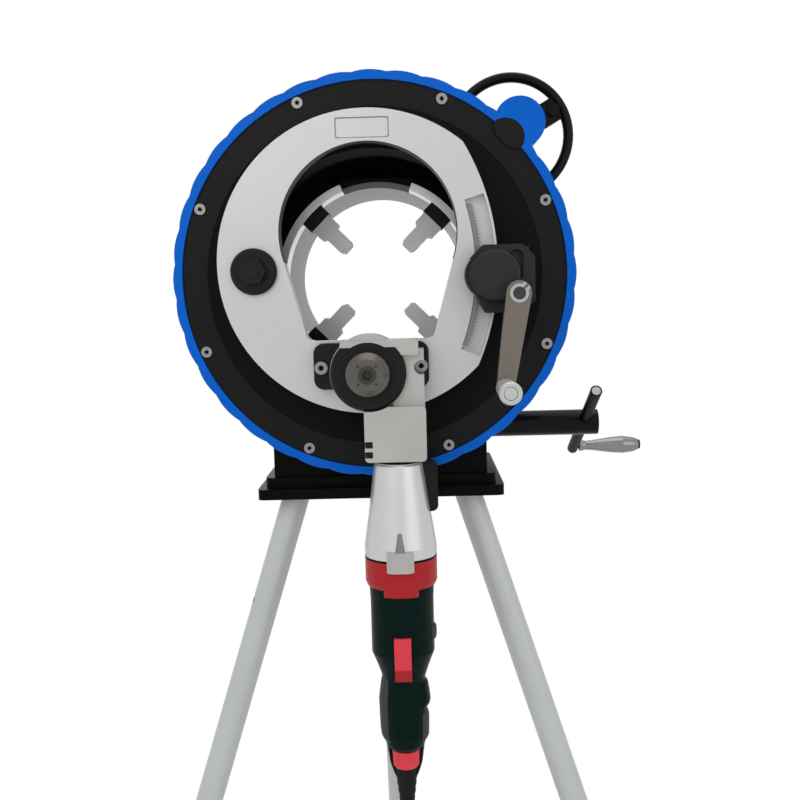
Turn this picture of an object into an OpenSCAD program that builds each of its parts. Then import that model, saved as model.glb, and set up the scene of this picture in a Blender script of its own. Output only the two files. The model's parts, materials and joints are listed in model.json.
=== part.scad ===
// Pipe cutting and beveling machine on a three-leg stand, in millimetres.
// The origin is on the floor under the pipe axis; the viewer stands at -Y and +Z is up.
// Depths are measured from the face of the front cover, heights from the pipe axis.

/* [Gear ring] */
// Radius over the lobes of the round casing
casing_r = 240; // [238:1:250]
// Number of shallow lobes round the casing
lobe_count = 36; // [30:1:44]
// Radius of one lobe
lobe_r = 73; // [60:1:90]
// Depth of the casing behind the face of the cover
casing_depth = 84; // [80:1:90]
// Width of the blue rim that shows round the cover
rim_w = 11; // [9:0.5:11.5]
// Thickness of the front cover
cover_t = 6; // [4:0.5:8]
// Radius of the turning disc
disc_r = 198; // [194:1:200]
// Radius of the hole through the turning disc
disc_bore_r = 150; // [146:1:156]
// Radius of the circle of cover screws
cover_screw_r = 221; // [218:0.5:222]
// Shank radius of the cover screws
cover_shank_r = 4; // [3:0.1:4.5]

/* [Turning gears] */
// Module of the ring gear and its pinion
ring_module = 3; // [3:0.5:3]
// Teeth of the ring gear
ring_teeth = 151; // [151:1:151]
// Teeth of the drive pinion
pinion_teeth = 14; // [14:1:14]
// Face width of the ring gear
gear_w = 18; // [14:0.5:18]
// Radius of the drive pinion's shaft
pinion_shaft_r = 8; // [6:0.25:9]
// Outer radius of the handwheel
wheel_r = 80; // [70:1:82]
// Radius of the handwheel's rim section
wheel_rim_r = 6.5; // [5:0.25:7.5]
// Middle plane of the handwheel behind the face of the cover
wheel_y = 110; // [106:0.5:112]

/* [Swing plate] */
// Swing pivot beside the pipe axis
pivot_x = -139; // [-141:0.5:-137]
// Swing pivot above the pipe axis
pivot_z = 9; // [7:0.5:11]
// Radius of the plate's round outline
plate_r = 176; // [172:0.5:178]
// Thickness of the plate
plate_t = 24; // [22:0.5:25]
// Radius of the round part of the plate's opening
opening_r = 104; // [98:0.5:106]
// Radius of the pivot's bearing part
pivot_r = 15; // [12:0.5:17]

/* [Feed] */
// Module of the feed rack and its pinion
rack_module = 1.25; // [1.25:0.25:1.25]
// Teeth of a full circle of the feed rack
rack_teeth = 422; // [422:1:422]
// Teeth of the feed pinion
feed_teeth = 12; // [12:1:12]
// Half angle of the rack channel
channel_half = 19.5; // [19.3:0.1:20]
// Depth of the rack channel
channel_d = 10; // [9:0.5:12]
// Length of the feed crank between its axes
crank_len = 106; // [96:1:108]
// Radius of the round cap on the feed housing
cap_r = 28; // [25:0.5:30]
// Radius of the feed crank's grip
crank_grip_r = 12.5; // [11:0.25:13]

/* [Cutter head] */
// Motor axis beside the pipe axis
motor_x = 24; // [23.8:0.1:24.4]
// Motor axis in front of the cover's face
motor_y = -56; // [-56.5:0.25:-55.5]
// Cutter spindle beside the pipe axis
spindle_x = -7; // [-7.4:0.1:-6.8]
// Cutter spindle below the pipe axis
spindle_z = -109; // [-111:0.5:-107]
// Radius of the cutter spindle
spindle_r = 10; // [8:0.25:10.5]
// Radius of the round blade guard
guard_r = 43; // [40:0.5:44]
// Radius of the blade flange
blade_flange_r = 24.5; // [22:0.5:26]
// Radius of the motor's red collar
collar_r = 42; // [40:0.5:42]
// Radius of the motor's body
body_r = 37; // [35.5:0.5:38]

/* [Vise] */
// Inner radius of the pipe sleeve and the half rings
sleeve_r = 121; // [118:0.5:122]
// Wall of the pipe sleeve
sleeve_wall = 8; // [6:0.5:8]
// Length of the pipe sleeve
sleeve_len = 182; // [150:1:200]
// Radius at which the jaw tips stand
jaw_tip_r = 54; // [48:0.5:60]
// Width of the jaw tips
jaw_w = 20; // [16:0.5:22]
// Outer radius of the vise body's round ends
vise_r = 151; // [149:0.5:152]
// Vise screw below the pipe axis
screw_z = -200; // [-201:0.5:-199]
// Radius of the vise screw
screw_r = 9.5; // [8:0.25:10]
// Guide bar below the pipe axis
guide_z = -165; // [-167:0.5:-163]
// Radius of the guide bar
guide_r = 10; // [8:0.25:11]
// Radius of the tube round the vise screw
tube_r = 17; // [15:0.5:18]
// Right-hand end of the vise crank's hub
hub_end = 290; // [284:1:296]
// Length of the vise crank's cross bar
bar_len = 220; // [200:1:226]
// Radius of the cross bar
bar_r = 7.5; // [6.5:0.25:8]

/* [Stand] */
// Height of the pipe axis above the floor
axis_h = 950; // [900:5:1000]
// Half width of the base plate
base_half = 152; // [148:1:158]
// Thickness of the base plate
base_t = 13; // [10:0.5:15]
// Outer radius of the leg tubes
leg_r = 16.85; // [15:0.05:18]
// Wall of the leg tubes
leg_wall = 2.6; // [2:0.1:3.2]
// Sideways slope of the front legs
leg_side = 0.318; // [0.28:0.002:0.36]
// Forward slope of the front legs
leg_fore = 0.057; // [0:0.001:0.08]
// Backward slope of the rear leg
leg_back = 0.335; // [0.28:0.005:0.38]

/* [Cord] */
// Radius of the power cord
cord_r = 4.5; // [3.5:0.25:4.5]
// Turns of the coil in each of its two layers
coil_turns = 4.5; // [2.5:1:5.5]

/* [Hidden] */
$fn = 96;

// Clearances
run_fit = 0.05;
seat = 0.02;
slip = 0.3;
tooth_play = 0.4;
pressure = 25;
tip_h = 0.8;
root_h = 1.05;

// Casing and disc
rim_front = -3;
cover_seat_r = casing_r - rim_w;
disc_front = -3.7;
disc_back = 22;
flange_back = disc_back - 0.4;
flange_bore_r = disc_r + 6;
gear_back = disc_back + gear_w;
gear_space_r = ring_module * (ring_teeth / 2 + tip_h) + 2.6;
back_front = casing_depth - 10;
hub_r = 176;
hub_back = casing_depth - 2;
bearing_r = hub_r + 9;
boss_r = bearing_r + 13;
screw_count = 8;
screw_turn = 22.5;
screw_head_r = 6.5;
screw_head_h = 2.5;

// Drive pinion and handwheel
pinion_turn = 45;
pinion_dist = ring_module * (ring_teeth + pinion_teeth) / 2;
pinion_at = pinion_dist * [cos(pinion_turn), sin(pinion_turn)];
pinion_space_r = ring_module * (pinion_teeth / 2 + tip_h) + 2.1;
bump_r = pinion_space_r + 4.5;
bush_r = pinion_shaft_r + 3;
grip_turn = 30;
wheel_grip_at = pinion_at + (wheel_r - 18) * [cos(grip_turn), sin(grip_turn)];
stud_r = 5;
wheel_grip_len = 72;

// Swing plate
plate_back = disc_front - slip;
plate_front = plate_back - plate_t;
plate_c = [pivot_x + 133, pivot_z + 7];
pivot_at = [pivot_x, pivot_z];
rack_r = rack_module * rack_teeth / 2;
feed_turn = -2.35;
feed_dist = rack_r + rack_module * feed_teeth / 2;
channel_in_r = rack_r - 6;
channel_out_r = feed_dist + rack_module * (feed_teeth / 2 + tip_h) + 1.2;
plate_edge_r = channel_out_r + 3;
channel_floor = plate_front + channel_d;
opening_c = plate_c + [1, 35];
opening_foot = [76, -115];
opening_corner = 10;
opening_turn = atan2(opening_foot[1], opening_foot[0]) + acos(opening_r / norm(opening_foot));
recess_size = [62, 23.5];
recess_at = plate_c + [-2.7, 154];

// Feed train
feed_at = pivot_at + feed_dist * [cos(feed_turn), sin(feed_turn)];
train_module = 2;
feed_gear_teeth = 21;
crank_teeth = 16;
train_turn = -34.8;
train_dist = train_module * (feed_gear_teeth + crank_teeth) / 2;
crank_at = feed_at + train_dist * [cos(train_turn), sin(train_turn)];
housing_back = plate_front - 2;
housing_front = housing_back - 28;
train_back = housing_back - 1.5;
train_w = 10;
train_front = train_back - train_w;
feed_shaft_r = 6;
crank_shaft_r = 7;
cap_at = feed_at + [5.8, -0.3];
cap_front = housing_front - 20;
arm_back = cap_front - 6.5;
arm_t = 10;
arm_front = arm_back - arm_t;
arm_hang = -98.9;
crank_grip_at = crank_at + crank_len * [cos(arm_hang), sin(arm_hang)];
crank_grip_len = 60;
grip_stud_r = 4;

// Cutter head
flange_front = plate_front - 12;
ear_at = [58, 5];
head_front = motor_y - 16;
guard_front = head_front - 10;
blade_back = guard_front - 2.5;
blade_front = blade_back - 19.5;
wheel_teeth = 28;
wheel_module = 1.5;
wheel_gear_w = 14;
wheel_gear_front = motor_y - wheel_gear_w / 2;
worm_core_r = motor_x - spindle_x - wheel_module * (wheel_teeth / 2 + tip_h) - 0.5;
head_foot = -210;
nose_foot = -322;
collar_foot = -357;
body_taper = -438;
handle_top = -471;
handle_r = 25;
handle_foot = -558;
ring_foot = -582;
boot_foot = -640;
core_r = 24;
shaft_bore_r = worm_core_r + 2.2;
arbor_r = 5;
paddle_half = 9.8;
paddle_back = motor_y - 14;
press_depth = 4;

// Vise
neck_r = 142;
vise_front = 118;
cavity_front = 126;
cavity_back = 168;
vise_rear = 176;
vise_wall = 17;
vise_reach = 29;
vise_mid = (cavity_front + cavity_back) / 2;
sleeve_out_r = sleeve_r + sleeve_wall;
carriage_r = sleeve_r + 10;
post_half = 132;
post_top = -100;
close_travel = 20;
foot_in = 35;
foot_out = 85;
block_h = 17;
block_in_r = sleeve_r - block_h;
hub_x = 240.5;
bar_at = hub_end - 18;
bar_tilt = 28;
vise_grip_len = 84;

// Stand
floor_z = -axis_h;
saddle_top = -244;
saddle_foot = saddle_top - 13;
base_foot = saddle_foot - base_t;
base_front = 10;
base_back = 260;
leg_tops = [[-108, 50], [108, 50], [0, 215]];
leg_ways = [[-leg_side, -leg_fore, -1], [leg_side, -leg_fore, -1], [0, leg_back, -1]];
leg_lift = 10;
foot_r = leg_r + 5;

// Power cord: a hanging stretch, a quarter bend and a run along the floor to the coil
cord_floor = floor_z + cord_r;
run_end = 104;
// Route of the free stretch: drop below the bend relief, then depth and height above the floor
cord_drop = [0.1, 6, 30, 56, 82, 108, 134, 160, 186, 206];
cord_bend = [[-55, 84], [-52, 68], [-44, 47], [-31, 29], [-14, 16], [7, 8], [29, 4.5], [48, 4.5], [67, 4.5],
    [86, 4.5], [run_end, 4.5]];
plug_lead = 45;
coil_start = [motor_x, run_end, cord_floor];
coil_step = 2 * cord_r + 0.6;
coil_in_r = 38;
coil_out_r = coil_in_r + coil_step * coil_turns;
coil_c = [coil_start[0] - coil_out_r, coil_start[1] + 2 * cord_r];
loop_rings = 24;

// Lifts a sub-part from the pipe axis to its height above the floor
module at_axis() {
    translate([0, 0, axis_h]) children();
}

// Flat shape drawn in X and Z made into a plate between two depths
module slab(y0, y1) {
    translate([0, y1, 0]) rotate([90, 0, 0]) linear_extrude(y1 - y0) children();
}

// Round bar along Y
module bar_y(r, y0, y1, at = [0, 0]) {
    translate([at[0], y0, at[1]]) rotate([-90, 0, 0]) cylinder(r = r, h = y1 - y0);
}

// Round bar along X
module bar_x(r, x0, x1, y, z) {
    translate([x0, y, z]) rotate([0, 90, 0]) cylinder(r = r, h = x1 - x0);
}

// Profile of radius and depth turned about an axis along Y
module turned_y(profile, at = [0, 0]) {
    translate([at[0], 0, at[1]]) rotate([-90, 0, 0]) rotate_extrude() polygon(profile);
}

// Rectangle with round corners between two corners
module round_box(low, high, r) {
    translate([low[0] + r, low[1]]) square([high[0] - low[0] - 2 * r, high[1] - low[1]]);
    translate([low[0], low[1] + r]) square([high[0] - low[0], high[1] - low[1] - 2 * r]);
    for (x = [low[0] + r, high[0] - r], y = [low[1] + r, high[1] - r]) translate([x, y]) circle(r);
}

// Half angle of an involute tooth at radius r
function involute(a) = tan(a) - a * PI / 180;
function tooth_half(m, z, r) =
    let (base = m * z / 2 * cos(pressure), a = r <= base ? 0 : acos(base / r))
    (PI / 2 / z - tooth_play / 2 / (m * z) + involute(pressure) - involute(a)) * 180 / PI;

// Corners of one tooth centred on an angle
function tooth(m, z, turn, steps) =
    let (rp = m * z / 2, foot = rp - root_h * m, low = max(foot, rp * cos(pressure)), high = rp + tip_h * m,
        radii = [for (i = [0 : steps]) low + (high - low) * i / steps],
        rise = [for (r = radii) [r, -tooth_half(m, z, r)]],
        fall = [for (i = [steps : -1 : 0]) [radii[i], tooth_half(m, z, radii[i])]],
        heel = low > foot ? [[foot, -tooth_half(m, z, low)]] : [],
        toe = low > foot ? [[foot, tooth_half(m, z, low)]] : [],
        ends = concat(heel, rise, fall, toe))
    [for (p = ends) p[0] * [cos(turn + p[1]), sin(turn + p[1])]];

// Corners of a whole gear with a tooth centred on the given angle
function gear(m, z, turn, steps = 4) =
    [for (i = [0 : z - 1]) for (p = tooth(m, z, turn + i * 360 / z, steps)) p];

module at_cover_screws() {
    for (i = [0 : screw_count - 1])
        rotate(screw_turn + i * 360 / screw_count) translate([cover_screw_r, 0]) children();
}

module gear_casing() color("royalblue") at_axis() difference() {
    slab(rim_front, casing_depth) union() {
        circle(cover_seat_r);
        for (i = [0 : lobe_count - 1]) rotate(i * 360 / lobe_count)
            translate([casing_r - lobe_r, 0]) circle(lobe_r);
        translate(pinion_at) circle(bump_r);
    }
    slab(rim_front - 1, cover_t) difference() {
        circle(cover_seat_r);
        translate(pinion_at) circle(bump_r);
    }
    bar_y(flange_bore_r, cover_t - 1, flange_back + 1);
    bar_y(gear_space_r, flange_back, casing_depth + 1);
    bar_y(pinion_space_r, flange_back, casing_depth + 1, pinion_at);
    bar_y(bush_r, cover_t - 1, flange_back + 1, pinion_at);
    slab(cover_t - 1, flange_back + 1) at_cover_screws() circle(cover_shank_r + 0.1);
}

// Back cover with the boss that holds the disc's bearing
module back_cover() color("#2a3f86") at_axis() difference() {
    turned_y([[bearing_r, gear_back + 0.4], [boss_r, gear_back + 0.4], [boss_r, back_front],
        [gear_space_r - seat, back_front], [gear_space_r - seat, casing_depth], [bearing_r, casing_depth]]);
    bar_y(pinion_space_r, gear_back, casing_depth + 1, pinion_at);
}

module front_cover() color("#1c1c1e") at_axis() slab(0, cover_t) difference() {
    circle(cover_seat_r - 0.5);
    translate(pinion_at) circle(bump_r + 0.5);
    circle(disc_r + 1);
    at_cover_screws() circle(cover_shank_r + 0.4);
}

module cover_screws() color("silver") at_axis() {
    slab(0, flange_back - 3) at_cover_screws() circle(cover_shank_r);
    slab(-screw_head_h, 0) at_cover_screws() difference() {
        circle(screw_head_r);
        circle(3, $fn = 6);
    }
}

module rotor_bearing() color("#b08d4f") at_axis() turned_y([[hub_r + run_fit, gear_back + 6],
    [bearing_r - seat, gear_back + 6], [bearing_r - seat, casing_depth], [hub_r + run_fit, casing_depth]]);

module pinion_bushes() color("#b08d4f") at_axis() difference() {
    union() {
        bar_y(bush_r - seat, cover_t + 1, flange_back, pinion_at);
        bar_y(pinion_space_r - seat, back_front, casing_depth, pinion_at);
    }
    bar_y(pinion_shaft_r + run_fit, 0, casing_depth + 1, pinion_at);
}

module rotor_disc() color("#202024") at_axis() difference() {
    turned_y([[disc_bore_r, disc_front], [disc_r, disc_front], [disc_r, disc_back], [hub_r, disc_back],
        [hub_r, hub_back], [disc_bore_r, hub_back]]);
    bar_y(pivot_r - 3, disc_front - 1, disc_back + 1, pivot_at);
}

module ring_gear() color("#8d9096") at_axis() slab(disc_back, gear_back) difference() {
    polygon(gear(ring_module, ring_teeth, pinion_turn, 2));
    circle(hub_r + seat);
}

module drive_pinion() color("#9a9da3") at_axis() {
    slab(disc_back, gear_back) translate(pinion_at)
        polygon(gear(ring_module, pinion_teeth, pinion_turn + 180 + 180 / pinion_teeth));
    bar_y(pinion_shaft_r, cover_t + 1, disc_back, pinion_at);
    bar_y(pinion_shaft_r, gear_back, wheel_y + 10, pinion_at);
}

// Handwheel with three broad spokes and the stud of its grip
module handwheel() color("#17171a") at_axis() difference() {
    union() {
        translate([pinion_at[0], wheel_y, pinion_at[1]]) rotate([-90, 0, 0]) rotate_extrude()
            translate([wheel_r - wheel_rim_r, 0]) circle(wheel_rim_r);
        bar_y(18, wheel_y - 12, wheel_y + 10, pinion_at);
        slab(wheel_y - 4, wheel_y + 4) translate(pinion_at) for (i = [0 : 2]) rotate(grip_turn + i * 120)
            translate([0, -15]) square([wheel_r - wheel_rim_r, 30]);
        bar_y(8, wheel_y - 10, wheel_y - 4, wheel_grip_at);
        bar_y(11, wheel_y, wheel_y + 8, wheel_grip_at);
        bar_y(stud_r, wheel_y, wheel_y + 9 + wheel_grip_len, wheel_grip_at);
        bar_y(8, wheel_y + 8.8 + wheel_grip_len, wheel_y + 12 + wheel_grip_len, wheel_grip_at);
    }
    bar_y(pinion_shaft_r + seat, wheel_y - 13, wheel_y + 11, pinion_at);
}

module wheel_grip() color("#121214") at_axis() turned_y([[stud_r + 0.08, wheel_y + 8.4], [9, wheel_y + 8.4],
    [11, wheel_y + 30], [12, wheel_y + 54], [10.5, wheel_y + 72], [8, wheel_y + 8.4 + wheel_grip_len],
    [stud_r + 0.08, wheel_y + 8.4 + wheel_grip_len]], wheel_grip_at);

module pivot_stud() color("#3a3c40") at_axis() {
    bar_y(pivot_r - 3 - seat, disc_front, disc_back, pivot_at);
    bar_y(pivot_r, plate_front - 0.4, disc_front, pivot_at);
    bar_y(8, plate_front - 18, plate_front - 0.4, pivot_at);
}

module pivot_nut() color("#151517") at_axis() difference() {
    union() {
        turned_y([[0, plate_front - 0.4], [27, plate_front - 0.4], [27, plate_front - 5], [25, plate_front - 7],
            [0, plate_front - 7]], pivot_at);
        slab(plate_front - 17, plate_front - 7) translate(pivot_at) circle(16, $fn = 6);
    }
    bar_y(8 + seat, plate_front - 18, plate_front, pivot_at);
}

// Sector of a ring about the swing pivot
module pivot_sector(r0, r1, half) {
    translate(pivot_at) rotate(feed_turn) intersection() {
        difference() {
            circle(r1);
            circle(r0);
        }
        polygon([[0, 0], 2 * r1 * [cos(half), -sin(half)], 2 * r1 * [cos(half), sin(half)]]);
    }
}

// Pear-shaped opening: a circle that tapers to a flat foot with round corners
module plate_opening() {
    edge = opening_r * [cos(opening_turn), sin(opening_turn)];
    translate(opening_c) {
        circle(opening_r);
        polygon([edge, opening_foot, opening_foot - [opening_corner, opening_corner],
            [opening_corner - opening_foot[0], opening_foot[1] - opening_corner],
            [-opening_foot[0], opening_foot[1]], [-edge[0], edge[1]]]);
        for (side = [-1, 1]) translate([side * (opening_foot[0] - opening_corner), opening_foot[1]])
            circle(opening_corner);
    }
}

module swing_plate() color("#c9ccd0") at_axis() difference() {
    slab(plate_front, plate_back) difference() {
        intersection() {
            translate(plate_c) circle(plate_r);
            translate(pivot_at) circle(plate_edge_r);
        }
        plate_opening();
    }
    bar_y(pivot_r + run_fit, plate_front - 1, plate_back + 1, pivot_at);
    slab(plate_front - 1, channel_floor) pivot_sector(channel_in_r, channel_out_r, channel_half);
    slab(plate_front - 1, plate_front + 1.2) translate(recess_at) square(recess_size, center = true);
    for (side = [-1, 1])
        bar_y(4.1, plate_front - 1, plate_front + 14,
            [spindle_x + 2 + side * ear_at[0], spindle_z + ear_at[1]]);
}

// Fine rack along the inner wall of the channel
module feed_rack() color("#e3e5e8") at_axis() slab(plate_front + 0.6, channel_floor) translate(pivot_at)
    rotate(feed_turn) {
        last = floor((channel_half - 0.8) * rack_teeth / 360);
        reach = (last + 0.5) * 360 / rack_teeth;
        polygon(concat(
            [for (i = [-last : last]) for (p = tooth(rack_module, rack_teeth, i * 360 / rack_teeth, 2)) p],
            [for (i = [12 : -1 : -12]) (channel_in_r + 0.6) * [cos(reach * i / 12), sin(reach * i / 12)]]));
    }

// Black housing of the feed gears, on a foot outside the plate's edge
module feed_housing() color("#19191b") at_axis() difference() {
    union() {
        slab(housing_front, housing_back) union() {
            polygon([[112, -14], [128, -45], [170, -45], [184.5, -32], [184.5, 18], [170, 32], [126, 32],
                [112, 18]]);
            translate(feed_at) circle(26.5);
        }
        slab(housing_back, disc_front) difference() {
            translate([140, -40]) square([41, 70]);
            translate(pivot_at) circle(plate_edge_r + 1);
        }
    }
    bar_y(train_module * (feed_gear_teeth / 2 + tip_h) + 0.8, train_front - 0.5, housing_back + 1, feed_at);
    bar_y(train_module * (crank_teeth / 2 + tip_h) + 0.8, train_front - 0.5, housing_back + 1, crank_at);
    bar_y(feed_shaft_r + run_fit, housing_front + 3, housing_back, feed_at);
    bar_y(crank_shaft_r + run_fit, housing_front - 1, housing_back, crank_at);
    slab(housing_front - 1, housing_front + 6) round_box([156, -9], [171, 26], 7);
}

module feed_cap() color("#101012") at_axis() difference() {
    turned_y([[0, cap_front], [cap_r - 2, cap_front], [cap_r, cap_front + 2], [cap_r, housing_front],
        [0, housing_front]], cap_at);
    bar_y(crank_shaft_r + 0.8, cap_front - 1, housing_front + 1, crank_at);
}

module feed_pinion() color("#a9adb2") at_axis() {
    slab(plate_front + 0.6, channel_floor - 0.5) translate(feed_at)
        polygon(gear(rack_module, feed_teeth, feed_turn + 180 + 180 / feed_teeth));
    bar_y(feed_shaft_r - 0.6, train_back, plate_front + 0.6, feed_at);
    slab(train_front, train_back) translate(feed_at) polygon(gear(train_module, feed_gear_teeth, train_turn));
    bar_y(feed_shaft_r, housing_front + 3.5, train_front, feed_at);
}

module crank_shaft() color("#8f9399") at_axis() {
    slab(train_front, train_back) translate(crank_at)
        polygon(gear(train_module, crank_teeth, train_turn + 180 + 180 / crank_teeth));
    bar_y(crank_shaft_r, arm_front - 3, train_front, crank_at);
    bar_y(10, arm_back, cap_front - 0.8, crank_at);
}

// Flat arm that narrows to the stud of its grip
module crank_arm() color("#d2d4d8") at_axis() difference() {
    way = [cos(arm_hang), sin(arm_hang)];
    side = [-way[1], way[0]];
    union() {
        slab(arm_front, arm_back) union() {
            translate(crank_at) circle(14);
            translate(crank_grip_at) circle(10);
            polygon([crank_at + 14 * side, crank_at - 14 * side, crank_grip_at - 10 * side,
                crank_grip_at + 10 * side]);
        }
        bar_y(grip_stud_r, arm_front - crank_grip_len + 4, arm_front, crank_grip_at);
        bar_y(7, arm_front - crank_grip_len + 1, arm_front - crank_grip_len + 4, crank_grip_at);
    }
    bar_y(crank_shaft_r + seat, arm_front - 1, arm_back + 1, crank_at);
}

module crank_circlip() color("#dcdde0") at_axis() slab(arm_front - 2, arm_front) translate(crank_at)
    difference() {
        union() {
            circle(10.5);
            for (turn = [32, 58]) rotate(turn) translate([11, 0]) circle(2.6);
        }
        circle(crank_shaft_r + seat);
        rotate(45) translate([12, 0]) square([14, 3], center = true);
    }

module crank_grip() color("#c4c7cb") at_axis() turned_y([
    [grip_stud_r + 0.08, arm_front - 0.4], [crank_grip_r - 1.5, arm_front - 0.4],
    [crank_grip_r, arm_front - crank_grip_len + 2], [crank_grip_r - 1.5, arm_front - crank_grip_len],
    [7.4, arm_front - crank_grip_len], [7.4, arm_front - crank_grip_len + 4.4],
    [grip_stud_r + 0.08, arm_front - crank_grip_len + 4.4]], crank_grip_at);

module head_flange() color("#1a1a1c") at_axis() difference() {
    slab(flange_front, plate_front) translate([spindle_x + 2, spindle_z]) round_box([-67, -21], [67, 33], 12);
    for (side = [-1, 1]) bar_y(4.4, flange_front - 1, plate_front + 1,
        [spindle_x + 2 + side * ear_at[0], spindle_z + ear_at[1]]);
    bar_y(spindle_r + 8, flange_front - 1, plate_front + 1, [spindle_x, spindle_z]);
}

module flange_screws() color("silver") at_axis() for (side = [-1, 1]) {
    at = [spindle_x + 2 + side * ear_at[0], spindle_z + ear_at[1]];
    bar_y(4, flange_front, plate_front + 13, at);
    difference() {
        bar_y(7.5, flange_front - 7, flange_front, at);
        bar_y(3.2, flange_front - 8, flange_front - 3, at);
    }
}

// Silver gear case: round behind the guard, a column beside it and the clamp block over the motor
module gear_head() color("#d5d7da") at_axis() difference() {
    union() {
        slab(head_front, flange_front) union() {
            translate([spindle_x, spindle_z]) circle(guard_r + 1);
            translate([spindle_x - 31, spindle_z + 20]) square([88, 17]);
            translate([motor_x - 4, head_foot + 40]) square([36, spindle_z - head_foot - 14]);
        }
        slab(guard_front - 1, head_front) difference() {
            round_box([spindle_x - 31, spindle_z + 20], [spindle_x + 57, spindle_z + 37], 4);
            translate([spindle_x, spindle_z]) circle(guard_r - 8);
        }
        slab(motor_y - 28, plate_front - 0.5)
            round_box([motor_x - 37, head_foot], [motor_x + 33, head_foot + 63], 5);
    }
    bar_y(spindle_r + run_fit, head_front - 1, flange_front + 1, [spindle_x, spindle_z]);
    bar_y(24.5, wheel_gear_front - 1, wheel_gear_front + wheel_gear_w + 1, [spindle_x, spindle_z]);
    translate([motor_x, motor_y, head_foot - 1]) cylinder(r = shaft_bore_r, h = 129);
    intersection() {
        bar_y(guard_r + 0.4, guard_front - 4, head_front, [spindle_x, spindle_z]);
        translate([spindle_x - 60, guard_front - 5, head_foot]) cube([120, 40, spindle_z - head_foot]);
    }
    bar_y(8.3, head_front - 1, flange_front + 1, [spindle_x + 2 + ear_at[0], spindle_z + ear_at[1]]);
    for (z = [head_foot + 8.5, head_foot + 20]) bar_x(4, motor_x - 38, motor_x - 28, motor_y - 26.5, z);
}

// Round guard cut off level below the hood of the gear case
module blade_guard() color("#18181a") at_axis() difference() {
    turned_y([[spindle_r + 1, guard_front], [guard_r - 3, guard_front], [guard_r, guard_front + 3],
        [guard_r, head_front], [spindle_r + 1, head_front]], [spindle_x, spindle_z]);
    translate([spindle_x - 60, guard_front - 1, spindle_z + 19.8]) difference() {
        cube([120, 12, 40]);
        translate([60, -1, -19.8]) rotate([-90, 0, 0]) cylinder(r = guard_r - 8.2, h = 14);
    }
}

module spindle() color("#b7babf") at_axis() difference() {
    union() {
        bar_y(spindle_r, blade_front - 2, flange_front + 6, [spindle_x, spindle_z]);
        bar_y(spindle_r + 8, blade_back, guard_front - 0.5, [spindle_x, spindle_z]);
    }
    slab(blade_front - 3, blade_front + 8) translate([spindle_x, spindle_z]) circle(6, $fn = 6);
}

module worm_wheel() color("#b5893c") at_axis() slab(wheel_gear_front, wheel_gear_front + wheel_gear_w)
    translate([spindle_x, spindle_z]) difference() {
        polygon(gear(wheel_module, wheel_teeth, 0));
        circle(spindle_r + seat);
    }

module blade_flange() color("#8f8c84") at_axis() difference() {
    turned_y([[spindle_r + seat, blade_front], [blade_flange_r - 7, blade_front],
        [blade_flange_r, blade_front + 7], [blade_flange_r, blade_back], [spindle_r + seat, blade_back]],
        [spindle_x, spindle_z]);
    for (a = [45 : 90 : 315])
        bar_y(1.8, blade_front - 1, blade_front + 6, [spindle_x + 14 * cos(a), spindle_z + 14 * sin(a)]);
}

module at_motor() {
    translate([motor_x, motor_y, 0]) children();
}

nose_profile = [[0, head_foot], [26.5, head_foot], [26.5, head_foot - 4], [28.5, head_foot - 6],
    [collar_r - 6, head_foot - 62], [collar_r - 1, head_foot - 94], [collar_r, head_foot - 100],
    [collar_r, nose_foot], [0, nose_foot]];

// Square boss at the front of the nose that reaches down over the collar
module nose_boss(room) {
    translate([-12 - room, -collar_r - 2.5, nose_foot - 12 - room]) cube([24 + 2 * room, 14.5 + room, 23]);
}

module motor_nose() color("#c8cacd") at_axis() at_motor() difference() {
    union() {
        rotate_extrude() polygon(nose_profile);
        nose_boss(0);
        translate([0, 4 - collar_r, nose_foot + 10]) cylinder(r1 = 6.5, r2 = 2, h = 22);
    }
    translate([0, 0, nose_foot - 1]) cylinder(r = shaft_bore_r, h = head_foot - nose_foot + 2);
}

// Black locking tab on the right-hand side of the nose
module gear_selector() color("#141416") at_axis() at_motor() difference() {
    slab(-6, 6) round_box([20, head_foot - 62], [45, head_foot - 3], 7.4);
    rotate_extrude() polygon(nose_profile);
}

module motor_collar() color("#c8202c") at_axis() at_motor() difference() {
    rotate_extrude() polygon([[core_r + 2, nose_foot], [collar_r, nose_foot], [collar_r, collar_foot + 5],
        [collar_r - 2, collar_foot], [core_r + 2, collar_foot]]);
    nose_boss(seat);
}

// Motor body that narrows into its handle
module motor_body() color("#16302b") at_axis() at_motor() difference() {
    rotate_extrude() polygon([[0, collar_foot], [body_r + 1, collar_foot], [body_r, collar_foot - 18],
        [body_r, body_taper], [handle_r + 5, body_taper - 18], [handle_r, handle_top],
        [handle_r, handle_top - 10],
        [handle_r + 2, handle_top - 26], [handle_r + 1, handle_foot + 16], [handle_r - 2, handle_foot + 5],
        [handle_r - 6, handle_foot],
        [14, handle_foot], [14, handle_foot - 2], [0, handle_foot - 2]]);
    translate([0, 0, -408]) cylinder(r = core_r + 2, h = 60);
    translate([-paddle_half - slip, -60, -469])
        cube([2 * (paddle_half + slip), 60 - 14 + press_depth + slip, 57]);
}

module paddle_switch() color("#d3202b") at_axis() translate([motor_x - paddle_half, motor_y, 0])
    rotate([90, 0, 90]) linear_extrude(2 * paddle_half)
        polygon([[-39, -413], [-40, -426], [-36, -446], [-29, -465], [-26, -468.5], [-14, -468.5],
            [-14, -413]]);

module cord_ring() color("#cf2a33") at_axis() at_motor() rotate_extrude() polygon([[0, handle_foot - 2],
    [17, handle_foot - 2], [16, ring_foot + 3], [14, ring_foot], [0, ring_foot]]);

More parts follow.
